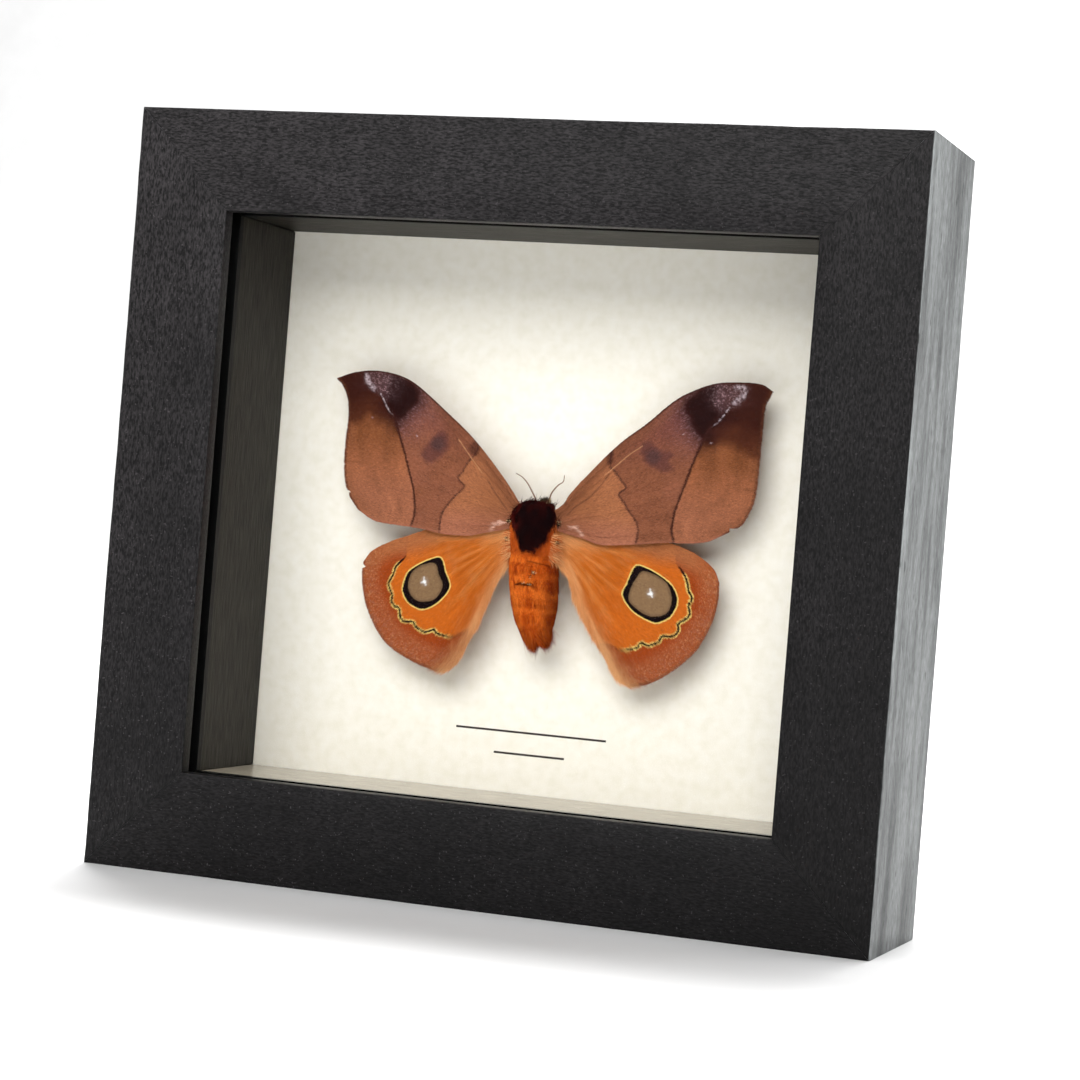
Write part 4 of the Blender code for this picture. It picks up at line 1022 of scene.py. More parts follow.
def dress_hind_wing(name, node_name, wing, materials, seed):
    sheet = wing_sheet(wing, HIND_GRID, HIND_VEINS)
    paint = hind_paint(wing)
    membrane(name, sheet, paint, materials["wing"], [node_name])
    plan = sheet.points[:, :, ::2].reshape(-1, 2)
    spot = closed(wing["eye_spot"], 60)
    marked = smooth(depth_in(plan, spot), -1.0, -0.3).reshape(sheet.area.shape)

    def scale_length(p):
        small = smooth(depth_in(p[:, ::2], spot), -1.2, -0.4)
        margin = 1.0 - smooth(edge_gap(p[:, ::2], wing)[1], 3.5, 6.0)
        return 0.6 - 0.34 * np.maximum(small, margin)

    density = 1.0 + 2.5 * marked
    scales(name, node_name, sheet, density, 30000, scale_length, 0.11, paint, materials, seed)
    rows, columns = sheet.area.shape
    s, t = np.linspace(0, 1, rows)[:, None], np.linspace(0, 1, columns)[None, :]
    hairy = np.exp(-(s / 0.30) ** 2) + 1.8 * np.exp(-((1.0 - t) / 0.10) ** 2) * (1.0 - 0.75 * s)
    roots, lie, out, uv, rng = sheet.scatter(hairy, 24000, seed + 1)
    inner = np.exp(-((1.0 - uv[:, 0]) / 0.08) ** 2)
    length = (1.2 + 1.5 * rng.random(len(roots))) * (1.25 - 0.75 * uv[:, 1]) * (1.0 + 0.4 * inner)
    clump = cloud(roots[:, ::2], 1.3, seed) - 0.5
    sway = (0.7 - 0.3 * inner) * clump + 0.10 * rng.standard_normal(len(roots)) + 0.30 * inner
    across = np.cross(lie, out)
    towards = np.sign((across * np.array((-wing["side"], 0.0, 0.0))).sum(axis=1))
    lie = tilted(lie, out, sway * towards)
    ends = [(roots + unit(lie) * length[:, None] * share)[:, ::2] for share in (0.0, 0.5, 1.0)]
    clear = np.max([depth_in(end, spot) for end in ends], axis=0) < -0.15
    roots, lie, out, uv, length, inner, clump = pick(clear, roots, lie, out, uv, length, inner, clump)
    middle = paint(along_middle(roots, lie, length))
    near_root = np.exp(-(np.hypot(roots[:, 0] - BODY_X - 5.0 * wing["side"], roots[:, 2] + 5.0) / 2.6) ** 2)
    light = (0.8 * inner + 0.3 * near_root) * (0.2 + 0.8 * rng.random(len(roots)))
    light += smooth(clump, 0.0, 0.25) * 0.15
    colours = varied(mix(middle, CREAM, light), rng, 0.10)
    tufts(name + ".hair", roots, lie, out, length, 0.085, 0.03 + 0.09 * rng.random(len(roots)), colours,
          uv, materials["fur"], [node_name], bent=False)
    margin_fringe(name, node_name, sheet, paint, materials, seed + 2)


def margin_fringe(name, node_name, sheet, paint, materials, seed):
    """The short fringe of scales that stands out from the outer margin."""
    density = np.zeros_like(sheet.area)
    density[-3:, :] = 1.0
    roots, lie, out, uv, rng = sheet.scatter(density, 2600, seed)
    length = 0.30 + 0.18 * rng.random(len(roots))
    colours = varied(paint(roots[:, ::2]) * 0.8 + TAN * 0.2, rng, 0.15)
    tufts(name + ".fringe", roots, lie, out, length, 0.10, 0.02, colours, uv, materials["scale"],
          [node_name], bent=False, flat=0.25)


# The body


def ring_sheet(section, heights, columns, grow=1.0):
    """A round body as a grid: rows down it and columns round it, from a section at each height."""
    turn = np.linspace(0.0, 2 * math.pi, columns)[None, :]
    x, depth, a, b = (np.broadcast_to(np.asarray(v, dtype=float), heights.shape)[:, None]
                      for v in section(heights))
    points = np.stack([x + a * grow * np.cos(turn), depth + b * grow * np.sin(turn),
                       np.broadcast_to(heights[:, None], (len(heights), columns))], axis=2)
    return Sheet(points, -1.0)


def thorax_rings(z):
    depth, a, b = thorax_section(z)
    return BODY_X, depth, a, b


def segment_phase(z):
    """How far down its segment of the abdomen each height is, from 0 to 1."""
    edges = np.array((THORAX_END, *SEGMENT_ENDS, ABDOMEN_END - 1.5))
    number = np.clip(np.searchsorted(-edges, -z, side="right") - 1, 0, len(edges) - 2)
    return np.clip((edges[number] - z) / (edges[number] - edges[number + 1]), 0.0, 1.0)


def abdomen_rings(z):
    x, a, b = abdomen_section(z)
    swell = 1.0 + 0.045 * (segment_phase(z) ** 1.5 - 0.4)
    return x, THORAX_DEPTH, a * swell, b * swell


def head_rings(z):
    rise = np.clip((z - HEAD[2]) / HEAD_R[2], -1.0, 1.0)
    wide = np.sqrt(np.maximum(1.0 - rise ** 2, 0.0))
    return HEAD[0], HEAD[1], HEAD_R[0] * wide, HEAD_R[1] * wide


THORAX_DARK = srgb(17, 3, 4)
THORAX_MAROON = srgb(66, 14, 8)
FLANK = srgb(182, 82, 26)
FLANK_PALE = srgb(212, 138, 78)
SHOULDER_CREAM = srgb(226, 172, 116)
RUST = srgb(196, 82, 17)
RUST_LIGHT = srgb(216, 112, 38)
RUST_DARK = srgb(100, 24, 5)
HEAD_GREY = srgb(62, 60, 44)
SPECK_WHITE = srgb(200, 174, 128)
STRAY = 0.12                   # share of the body's hair that stands off
SKIN_SHARE = 0.93              # the skin under the coat, as a share of the body's width
SCRAP_DARK = srgb(30, 17, 12)
TO_FRONT = np.array((0.0, -1.0, 0.0))
# Edges of the dark patch on the back, as angles in degrees from the front, at heights from its end
PATCH_Z = (-7.1, -5.9, -4.7, -3.4, -2.5, -0.9, 0.6, 1.8)
PATCH_LEFT = (-16.0, -27.0, -34.0, -42.0, -50.0, -66.0, -100.0, -180.0)
PATCH_RIGHT = (21.0, 36.0, 48.0, 51.0, 59.0, 72.0, 85.0, 180.0)
# Bare creases painted dark as shade: height, slant, first and last angle, and how dark
CREASES = ((-13.2, 0.003, -40.0, 18.0, 0.9), (-8.5, -0.013, -2.0, 66.0, 0.5))


def body_map(p):
    """Angle round the body, in degrees, and a flat map of it for noise."""
    axis = BODY_X + ABDOMEN_LEAN * np.clip((THORAX_END - p[:, 2]) / (THORAX_END - ABDOMEN_END), 0.0, 1.0)
    angle = np.degrees(np.arctan2(p[:, 0] - axis, THORAX_DEPTH - p[:, 1]))
    return angle, np.stack([angle * 0.08, p[:, 2]], axis=1)


def body_paint(p):
    """The colours of the body, as a function of points (x, depth, z), with painted shade and painted highlights
    among them.
    """
    angle, flat = body_map(p)
    mid = cloud(flat, 1.4, 61)
    broad = cloud(flat, 4.0, 63)
    warped = flat + np.stack([cloud(flat, 1.7, 67), cloud(flat + 40.0, 1.7, 69)], axis=1) * 2.2
    strands = cloud(warped * (3.2, 1.3), 1.0, 65)
    left, right = (np.interp(p[:, 2], PATCH_Z, edge) for edge in (PATCH_LEFT, PATCH_RIGHT))
    dark = smooth(np.minimum(angle - left, right - angle) + (mid - 0.5) * 14.0, -4.0, 4.0)
    dark *= smooth(p[:, 2] + (mid - 0.5) * 0.8, -7.6, -7.1)
    colour = mix(RUST, RUST_LIGHT, smooth((broad + strands) * 0.5, 0.42, 0.66) * 0.9)
    colour = mix(colour, RUST_DARK, smooth(0.50 - strands, 0.0, 0.22) * 0.5)
    # painted shade: the right flank darker, and the left flank towards the tail
    colour = mix(colour, RUST_DARK, smooth(angle, 26.0, 72.0) * 0.75)
    colour = mix(colour, RUST_DARK, smooth(-angle, 30.0, 75.0) * smooth(-p[:, 2], 13.0, 20.0) * 0.6)
    # painted highlight on the hair just above each ring's end, and painted shade at the end under it
    for end in SEGMENT_ENDS:
        drop = p[:, 2] - end + (mid - 0.5) * 1.8 + (broad - 0.5) * 1.6
        colour = mix(colour, RUST_LIGHT, np.exp(-((drop - 1.1) / 0.8) ** 2) * 0.35)
        colour = mix(colour, RUST_DARK, np.exp(-(drop / 0.6) ** 2) * (0.1 + smooth(mid, 0.4, 0.65) * 0.45))
    colour = mix(colour, RUST_DARK * 1.15, smooth(-p[:, 2] + (mid - 0.5) * 3.0, 20.5, 25.5) * 0.75)
    # painted shade in the bare creases
    for height, slant, first, last, strength in CREASES:
        along = smooth(angle, first, first + 8.0) * (1.0 - smooth(angle, last - 8.0, last))
        crease = np.exp(-((p[:, 2] - height - slant * angle - (mid - 0.5) * 0.7) / 0.11) ** 2) * along
        colour = mix(colour, RUST_DARK * 0.3, crease * strength)
    thorax = smooth(p[:, 2] + (mid - 0.5) * 1.5, -8.6, -7.4)
    flank = mix(FLANK, FLANK_PALE,
                smooth(np.abs(angle), 55.0, 85.0) * smooth(-p[:, 2], 0.5, 3.0) * 0.9)
    flank = mix(flank, RUST_DARK, smooth(0.48 - mid, 0.0, 0.3) * 0.6)
    colour = mix(colour, flank, thorax)
    seam = smooth(right - angle, -17.0, -2.0) * smooth(angle, 0.0, 20.0) * smooth(-p[:, 2], 2.0, 3.5)
    colour = mix(colour, RUST_DARK * 0.8, seam * thorax * 0.7)
    # the black fur's maroon tint, strong at the collar and strongest on the left shoulder as a painted
    # highlight
    maroon_and_highlight = 0.12 + 0.88 * np.maximum(1.0 - smooth(angle, -40.0, -14.0), 0.6 * smooth(p[:, 2], -0.5, 2.6))
    black = mix(THORAX_DARK, THORAX_MAROON, smooth(mid, 0.35, 0.75) * maroon_and_highlight)
    return mix(colour, black, dark)


def shell(sheet):
    """A grid round a body as a closed mesh: its points and faces, capped at both ends."""
    rows, columns = sheet.area.shape
    points = sheet.points[:, :-1].reshape(-1, 3)
    wide = columns - 1
    index = np.arange(rows * wide).reshape(rows, wide)
    after = np.roll(index, -1, axis=1)
    faces = np.stack([index[:-1], index[1:], after[1:], after[:-1]], axis=2).reshape(-1, 4)
    top, end = points[:wide].mean(axis=0), points[-wide:].mean(axis=0)
    points = np.vstack([points, top, end])
    caps = [np.stack([index[0], after[0], np.full(wide, rows * wide)], axis=1),
            np.stack([after[-1], index[-1], np.full(wide, rows * wide + 1)], axis=1)]
    return points, faces, np.vstack(caps)


def body_skin(sheets, material):
    """One skin over head, thorax and abdomen, without a seam."""
    points, quads, caps = [], [], []
    shift = 0
    for sheet in sheets:
        some, faces, ends = shell(sheet)
        points.append(some)
        quads.append(faces + shift)
        caps.append(ends + shift)
        shift += len(some)
    skin = build("moth_skin", np.vstack(points), [np.vstack(quads), np.vstack(caps)], material,
                 ["thorax", "abdomen", "head"])
    remesh = skin.modifiers.new("one skin", "REMESH")
    remesh.mode = "VOXEL"
    remesh.voxel_size = 0.28 * MM
    soften = skin.modifiers.new("soften", "SMOOTH")
    soften.iterations = 6
    graph = bpy.context.evaluated_depsgraph_get()
    mesh = bpy.data.meshes.new_from_object(skin.evaluated_get(graph))
    skin.modifiers.clear()
    skin.data = mesh
    mesh.shade_smooth()
    places = np.empty(len(mesh.vertices) * 3)
    mesh.vertices.foreach_get("co", places)
    places = places.reshape(-1, 3) / MM + (0.0, CASE_D / 2, -CASE_H / 2)
    layer = mesh.color_attributes.new("paint", "FLOAT_COLOR", "POINT")
    colours = body_paint(places) * 0.7
    layer.data.foreach_set("color", np.column_stack([colours, np.ones(len(colours))]).ravel())


def short_of_crease(roots, angle, length):
    """Lengths of hair, cut so that none covers a bare crease."""
    for height, slant, first, last, _ in CREASES:
        above = roots[:, 2] - height - slant * angle
        crosses = (angle > first) & (angle < last) & (above > -0.15) & (above < length)
        length = np.where(crosses, np.maximum(above - 0.1, 0.12), length)
    return length


def body_fur(name, sheet, seed, counts, long, short, swing, material, node_name, rise):
    """A dense short undercoat and longer, looser hair over it, both drawn into clumps."""
    for step, (layer, width) in enumerate((("under", 0.17), ("over", 0.10))):
        count = counts[step]
        roots, lie, out, uv, rng = sheet.scatter(np.ones_like(sheet.area), count, seed + step)
        angle, flat = body_map(roots)
        up = rise(roots)
        clump = cloud(flat, 1.0, seed + 3) - 0.5
        wisp = cloud(flat, 0.45, seed + 4, octaves=2) - 0.5
        lie = tilted(lie, out, 0.7 * clump + 0.7 * wisp + 0.2 * rng.standard_normal(count))
        size = long(roots, angle, up) if layer == "over" else short
        size = size * (1.0 + 0.25 * rng.standard_normal(count).clip(-2, 2))
        size = short_of_crease(roots, angle, size)
        lift = swing * (0.2 + 0.7 * rng.random(count) ** 3 + 0.6 * cloud(flat, 1.1, seed + 5)) + 0.4 * up
        lift += 0.45 * (rng.random(count) < STRAY)
        colours = varied(body_paint(roots + unit(lie) * size[:, None] * 0.5), rng, 0.2)
        tufts(name + "." + layer, roots - out * 0.3, lie, out, size, width, lift, colours, uv, material,
              [node_name], bent=False)


def thorax_coat(sheet, materials):
    """Hair that grows longer towards the flanks and shorter at the collar."""
    def long(roots, angle, up):
        return 1.7 + 0.8 * smooth(np.abs(angle), 40.0, 90.0) * (1.0 - up) - 0.5 * up

    body_fur("thorax_coat", sheet, 101, (15000, 30000), long, 1.0, 0.34, materials["fur"],
             "thorax", lambda roots: smooth(roots[:, 2], 0.6, 2.8))
    collar_ruff(sheet, materials)


def collar_ruff(sheet, materials):
    """Hair that stands out round the collar and the shoulders."""
    points = sheet.points.reshape(-1, 3)
    angle, _ = body_map(points)
    sides = smooth(np.abs(angle), 48.0, 75.0) * (1.0 - smooth(np.abs(angle), 95.0, 115.0))
    density = sides * smooth(points[:, 2], -2.4, -1.0) + smooth(points[:, 2], 1.9, 2.8)
    roots, _, out, uv, rng = sheet.scatter(density.reshape(sheet.area.shape), 3000, 106)
    angle, flat = body_map(roots)
    clump = cloud(flat, 0.9, 107)
    lie = out + (0.0, 0.0, 0.25) + 0.5 * rng.standard_normal(out.shape)
    lie[:, 0] += 1.6 * (clump - 0.5)
    length = (0.8 + 0.9 * rng.random(len(roots))) * (0.5 + 1.1 * clump)
    tone = mix(body_paint(roots), THORAX_MAROON * 1.4, smooth(np.abs(angle), 50.0, 80.0) * 0.5)
    tufts("collar_ruff", roots - out * 0.35, lie, TO_FRONT, length, 0.10, 0.2, varied(tone, rng, 0.12), uv,
          materials["fur"], ["thorax"])


def shoulder_tufts(materials):
    """Long pale hair from the flanks that runs out over the roots of the hind wings."""
    for side, name, seed in ((-1, "left", 171), (1, "right", 172)):
        rng = np.random.default_rng(seed)
        count = 420
        down = rng.random(count)
        z = -2.9 - 4.9 * down
        middle, a, b = thorax_section(z)
        angle = np.radians(52.0 + 22.0 * rng.random(count))
        roots = np.stack([BODY_X + side * a * np.sin(angle), middle - b * np.cos(angle), z], axis=1)
        clump = cloud(np.stack([z * 1.3, np.degrees(angle) * 0.05], axis=1), 0.5, seed) - 0.5
        lie = np.stack([side * (1.1 - 0.4 * down + 1.2 * clump), np.zeros(count),
                        -0.15 - 0.5 * down + 1.0 * clump], axis=1)
        lie += 0.18 * rng.standard_normal(lie.shape)
        length = (1.1 + 1.6 * rng.random(count)) * (0.9 + 0.3 * down)
        tone = mix(SHOULDER_CREAM, FLANK, smooth(rng.random(count) - clump, 0.0, 0.7))
        uv = np.stack([0.2 + 0.6 * rng.random(count), down], axis=1)
        tufts("shoulder_tuft_" + name, roots, lie, TO_FRONT, length, 0.08, 0.06, varied(tone, rng, 0.2), uv,
              materials["fur"], ["thorax"])


def abdomen_coat(sheet, materials):
    """Hair that grows longer towards the end of each ring."""
    def long(roots, angle, up):
        return 1.2 + 0.9 * smooth(segment_phase(roots[:, 2]), 0.4, 0.95)

    body_fur("abdomen_coat", sheet, 111, (16000, 42000), long, 0.9, 0.2, materials["fur"],
             "abdomen", lambda roots: np.zeros(len(roots)))
    tail_tuft(sheet, materials)


def tail_tuft(sheet, materials):
    """Long hair at the end of the abdomen, gathered into two lobes."""
    low = (sheet.points[:, :, 2] < -21.0).astype(float)
    roots, _, out, uv, rng = sheet.scatter(low, 4600, 121)
    lobes = np.array(TAIL_TIPS)
    first = roots[:, 0] < BODY_X + ABDOMEN_LEAN + 0.2 + 0.5 * rng.standard_normal(len(roots))
    tips = np.where(first[:, None], lobes[0], lobes[1])
    tips[~first & (rng.random(len(roots)) < 0.06)] = lobes[2]
    spread = rng.standard_normal((len(roots), 3)) * (0.45, 0.4, 0.7)
    reach = (tips + spread + (roots - (BODY_X + ABDOMEN_LEAN, THORAX_DEPTH, 0.0)) * (0.22, 0.3, 0.0)) - roots
    length = np.linalg.norm(reach, axis=1) * (0.35 + 0.7 * rng.random(len(roots)))
    colours = varied(mix(body_paint(roots), RUST_DARK, np.full(len(roots), 0.3)), rng, 0.25)
    side = np.cross(unit(reach), out)
    tufts("tail_tuft", roots - out * 0.2, reach, unit(np.cross(side, unit(reach))), length, 0.11, 0.08,
          colours, uv, materials["fur"], ["abdomen"])


def head_coat(sheet, materials):
    roots, lie, out, uv, rng = sheet.scatter(np.ones_like(sheet.area), 2600, 131)
    keep = np.ones(len(roots), dtype=bool)
    for side in (-1, 1):
        keep &= np.linalg.norm(roots - eye_centre(side), axis=1) > EYE_R + 0.15
    roots, lie, out, uv = pick(keep, roots, lie, out, uv)
    length = 0.7 + 0.5 * rng.random(len(roots))
    lie = tilted(-lie, out, 0.3 * rng.standard_normal(len(roots)))
    colours = varied(np.tile(HEAD_GREY, (len(roots), 1)), rng, 0.3)
    tufts("head_coat", roots - out * 0.1, lie, out, length, 0.12, 0.35, colours, uv, materials["fur"],
          ["head"])
    count = 700
    spread = rng.standard_normal((count, 3)).clip(-2, 2)
    roots = np.array((1.9, 26.7, 2.9)) + spread * (0.26, 0.35, 0.25)
    lie = np.array((0.12, -0.15, 1.0)) + spread * (0.35, 0.2, 0.0) + 0.15 * rng.standard_normal((count, 3))
    white = (roots[:, 0] > 2.15) & (rng.random(count) < 0.4)
    colours = varied(np.where(white[:, None], SPECK_WHITE, HEAD_GREY), rng, 0.3)
    uv = np.stack([0.5 + 0.1 * spread[:, 0], 0.1 + 0.03 * spread[:, 1]], axis=1)
    tufts("forelock", roots, lie, TO_FRONT, 0.7 + 0.7 * rng.random(count), 0.11, 0.15, colours,
          uv, materials["fur"], ["head"])


def eye_centre(side):
    return np.array((HEAD[0] + side * EYE_OUT, HEAD[1] - 0.1, HEAD[2] + 0.2))


def make_eyes(material):
    for side, name in ((-1, "left"), (1, "right")):
        centre = eye_centre(side)

        def round_eye(z):
            wide = np.sqrt(np.maximum(EYE_R ** 2 - (z - centre[2]) ** 2, 0.0))
            return centre[0], centre[1], wide, wide

        heights = centre[2] + EYE_R * np.cos(np.linspace(0.02, math.pi - 0.02, 40))
        points, faces, caps = shell(ring_sheet(round_eye, heights, 57))
        build("moth_eye_" + name, points, [faces, caps], material, ["eye_" + name])


def tube(path, radii, sides=12):
    """A round tube along a path, closed at both ends: points, side faces and end faces."""
    path = np.asarray(path, dtype=float)
    ahead = unit(np.gradient(path, axis=0))
    normal = np.array((0.0, 1.0, 0.0))
    points = []
    for p, way, r in zip(path, ahead, radii):
        normal = normal - way * normal.dot(way)
        normal /= np.linalg.norm(normal)
        beside = np.cross(way, normal)
        turn = np.linspace(0.0, 2 * math.pi, sides, endpoint=False)[:, None]
        points.append(p + (normal * np.cos(turn) + beside * np.sin(turn)) * r)
    rows = len(path)
    points = np.vstack(points + [path[:1], path[-1:]])
    index = np.arange(rows * sides).reshape(rows, sides)
    after = np.roll(index, -1, axis=1)
    faces = np.stack([index[:-1], after[:-1], after[1:], index[1:]], axis=2).reshape(-1, 4)
    first, last = np.full(sides, rows * sides), np.full(sides, rows * sides + 1)
    caps = np.vstack([np.stack([after[0], index[0], first], axis=1),
                      np.stack([index[-1], after[-1], last], axis=1)])
    return points, faces, caps


CHITIN = srgb(140, 96, 62)
CHITIN_DARK = srgb(104, 74, 52)


def make_feelers(materials):
    """Threads of many short joints, with a pair of tiny teeth on each."""
    for name, route, seed in (("left", ANTENNA_LEFT, 141), ("right", ANTENNA_RIGHT, 142)):
        joints = 34
        steps = joints * 4 + 1
        share = np.linspace(0.0, 1.0, steps)
        path = through(route, share)
        pulse = 1.0 + 0.12 * np.sin(share * joints * 2 * math.pi)
        radii = ANTENNA_R * (1.0 - 0.45 * share) * pulse
        radii[:3] *= (1.5, 1.4, 1.2)
        points, faces, caps = tube(path, radii, 10)
        shade = np.repeat(0.75 + 0.25 * np.sin(share * joints * 2 * math.pi), 10)
        tone = CHITIN[None, :] * np.concatenate([shade, [1.0, 1.0]])[:, None]
        build("feeler_" + name, points, [faces, caps], materials["chitin"],
              ["antenna_" + name], colours=tone)
        rng = np.random.default_rng(seed)
        at = through(route, (np.arange(joints) + 0.5) / joints)
        ahead = unit(np.gradient(at, axis=0))
        beside = unit(np.cross(ahead, (0.0, 1.0, 0.0)))
        roots = np.vstack([at, at])
        lie = np.vstack([beside + ahead * 0.5, -beside + ahead * 0.5])
        lie += 0.1 * rng.standard_normal(lie.shape)
        length = np.tile(0.42 * (1.0 - 0.7 * (np.arange(joints) / joints)), 2)
        uv = np.stack([np.repeat((0.25, 0.75), joints), np.tile(np.arange(joints) / joints, 2)], axis=1)
        tufts("feeler_teeth_" + name, roots, lie, TO_FRONT, length, 0.07, 0.0,
              np.tile(CHITIN_DARK, (len(roots), 1)), uv, materials["fur"],
              ["antenna_" + name], flat=0.8)


def make_legs(materials):
    """Folded legs: thigh, shin and foot, with a coat of short hair."""
    seed = 150
    for pair, (start, knee, foot) in LEGS.items():
        for side, name in ((-1, "left"), (1, "right")):
            seed += 1
            x, z = start
            middle, a, b = (float(v) for v in thorax_section(np.array(z)))
            belly = middle + b * math.sqrt(max(1.0 - (x / a) ** 2, 0.0))
            route = [(BODY_X + side * x, belly - 0.4, z)]
            route += [(BODY_X + side * p[0], p[1], p[2]) for p in (knee, foot)]
            share = np.linspace(0.0, 1.0, 61)
            path = through(route, share)
            knee_dip = np.exp(-((share - 0.42) / 0.02) ** 2)
            ankle_dip = np.exp(-((share - 0.72) / 0.015) ** 2)
            joint = 1.0 - 0.28 * (knee_dip + ankle_dip)
            feet = 1.0 - 0.12 * (np.sin((share - 0.72) * 2 * math.pi / 0.07) > 0.6) * (share > 0.72)
            radii = LEG_R * (1.0 - 0.5 * share) * joint * feet
            points, faces, caps = tube(path, radii, 14)
            tone = np.tile(srgb(120, 56, 30), (len(points), 1))
            label = "leg_%s_%s" % (pair, name)
            build("moth_" + label, points, [faces, caps], materials["chitin"], [label], colours=tone)
            grid = points[:-2].reshape(61, 14, 3)
            grid = np.concatenate([grid, grid[:, :1]], axis=1)
            sheet = Sheet(grid, 1.0)
            middle_line = path[:, None, :]
            if ((sheet.points - middle_line) * sheet.out).sum() < 0:
                sheet.out = -sheet.out
            roots, lie, out, uv, rng = sheet.scatter(np.ones_like(sheet.area), 900, seed)
            length = 0.5 + 0.5 * rng.random(len(roots)) * (1.0 - 0.5 * uv[:, 1])
            colours = varied(np.tile(srgb(140, 66, 34), (len(roots), 1)), rng, 0.2)
            tufts("moth_" + label + ".hair", roots, lie, out, length, 0.09, 0.25, colours, uv,
                  materials["fur"], [label])


# Scraps: x, depth, z, half spread along x and z, how many, and the share of pale ones
SCRAPS = (
    (-4.2, 22.9, -0.8, 0.16, 0.28, 70, 0.15), (6.3, 22.9, -0.8, 0.20, 0.32, 90, 0.15),
    (-4.6, 23.6, -4.5, 0.16, 0.24, 55, 0.15), (6.0, 23.6, -4.4, 0.16, 0.26, 60, 0.15),
    (2.5, 21.1, -10.7, 0.20, 0.20, 22, 0.4), (1.8, 21.0, -11.5, 0.24, 0.14, 18, 0.35),
    (0.9, 21.3, -13.05, 0.60, 0.06, 22, 0.4),
)


def loose_scraps(materials):
    """Small dark and pale tufts of scales at the joints of the wings and on the abdomen."""
    rng = np.random.default_rng(161)
    roots, colours = [], []
    for x, depth, z, wide, high, count, pale in SCRAPS:
        roots.append(np.array((x, depth, z)) + rng.standard_normal((count, 3)) * (wide, 0.08, high))
        light = rng.random(count) < pale
        colours.append(np.where(light[:, None], SPECK_WHITE, SCRAP_DARK))
    roots, colours = np.vstack(roots), np.vstack(colours)
    lie = rng.standard_normal(roots.shape) + (0.0, -0.2, -0.6)
    uv = np.stack([(roots[:, 0] + 10.0) / 20.0, (roots[:, 2] + 16.0) / 18.0], axis=1)
    tufts("loose_scraps", roots, lie, TO_FRONT, 0.2 + 0.3 * rng.random(len(roots)), 0.08, 0.2, colours, uv,
          materials["fur"], [])


# The case


def box_faces(centre, size):
    """A plate as points and faces."""
    signs = np.array([(x, y, z) for y in (-1, 1) for x, z in ((-1, -1), (1, -1), (1, 1), (-1, 1))])
    points = np.array(centre) + signs * np.array(size) / 2
    faces = [(0, 1, 2, 3), (7, 6, 5, 4)] + [(i + 4, (i + 1) % 4 + 4, (i + 1) % 4, i) for i in range(4)]
    return points, np.array(faces)


def make_rules(material):
    """Two thin printed rules under the moth."""
    points, faces = [], []
    for z, width in ((-43.2, 32.0), (-47.6, 15.0)):
        some, sides = box_faces((0.2, PAPER_DEPTH - 0.015, z), (width, 0.03, 0.42))
        faces.append(sides + 8 * len(points))
        points.append(some)
    rules = build("printed_rules", np.vstack(points), [np.vstack(faces)], material)
    rules.data.shade_flat()


def make_rail(name, replaced, turn, half, edge, material):
    """One mitred rail: its profile drawn out between two slanting ends, with eased edges."""
    ease, mitre_gap, flat_from = 0.25, 0.03, 0.5
    arc = [(ease * (1 - math.sin(a)), ease * (1 - math.cos(a))) for a in (1.57, 1.05, 0.52, 0.0)]
    face = [(flat_from, 0.0), (FACE_W * 0.35, 0.0), (FACE_W * 0.7, 0.0)]
    lip = [(FACE_W - 0.3, 0.0), (FACE_W - 0.08, 0.08), (FACE_W, 0.3), (FACE_W, LIP_T)]
    wall = [(WALL_T, LIP_T), (WALL_T, CASE_D), (0.4, CASE_D), (0.0, CASE_D - 0.4)]
    profile = np.array([(0.0, flat_from)] + arc + face + lip + wall)
    rows = 90
    share = np.linspace(-1.0, 1.0, rows)[:, None]
    inset, depth = profile[None, :, 0], profile[None, :, 1]
    along = share * (half - inset - mitre_gap)
    noise = np.stack([along.ravel(), np.broadcast_to(depth, along.shape).ravel() + edge], axis=1)
    uneven = (cloud(noise, 9.0, 71) - 0.5).reshape(along.shape) * 0.16
    inset = inset + uneven * (inset < 1.0)
    depth = np.maximum(depth + uneven * (depth < 0.5), 0.0)
    across = edge - np.maximum(inset, 0.0)
    flat = np.stack(np.broadcast_arrays(along, depth, across), axis=2).reshape(-1, 3)
    x = flat[:, 0] * math.cos(turn) + flat[:, 2] * math.sin(turn)
    z = flat[:, 2] * math.cos(turn) - flat[:, 0] * math.sin(turn)
    points = np.stack([x, flat[:, 1], z], axis=1)
    index = np.arange(len(points)).reshape(rows, -1)
    after = np.roll(index, -1, axis=1)
    sides = np.stack([index[:-1], index[1:], after[1:], after[:-1]], axis=2).reshape(-1, 4)
    ends = np.stack([index[0], index[-1, ::-1]])
    rail = build(name, points, [sides, ends], material, [replaced])
    rail.data.shade_smooth()
    rail.data.set_sharp_from_angle(angle=math.radians(35.0))


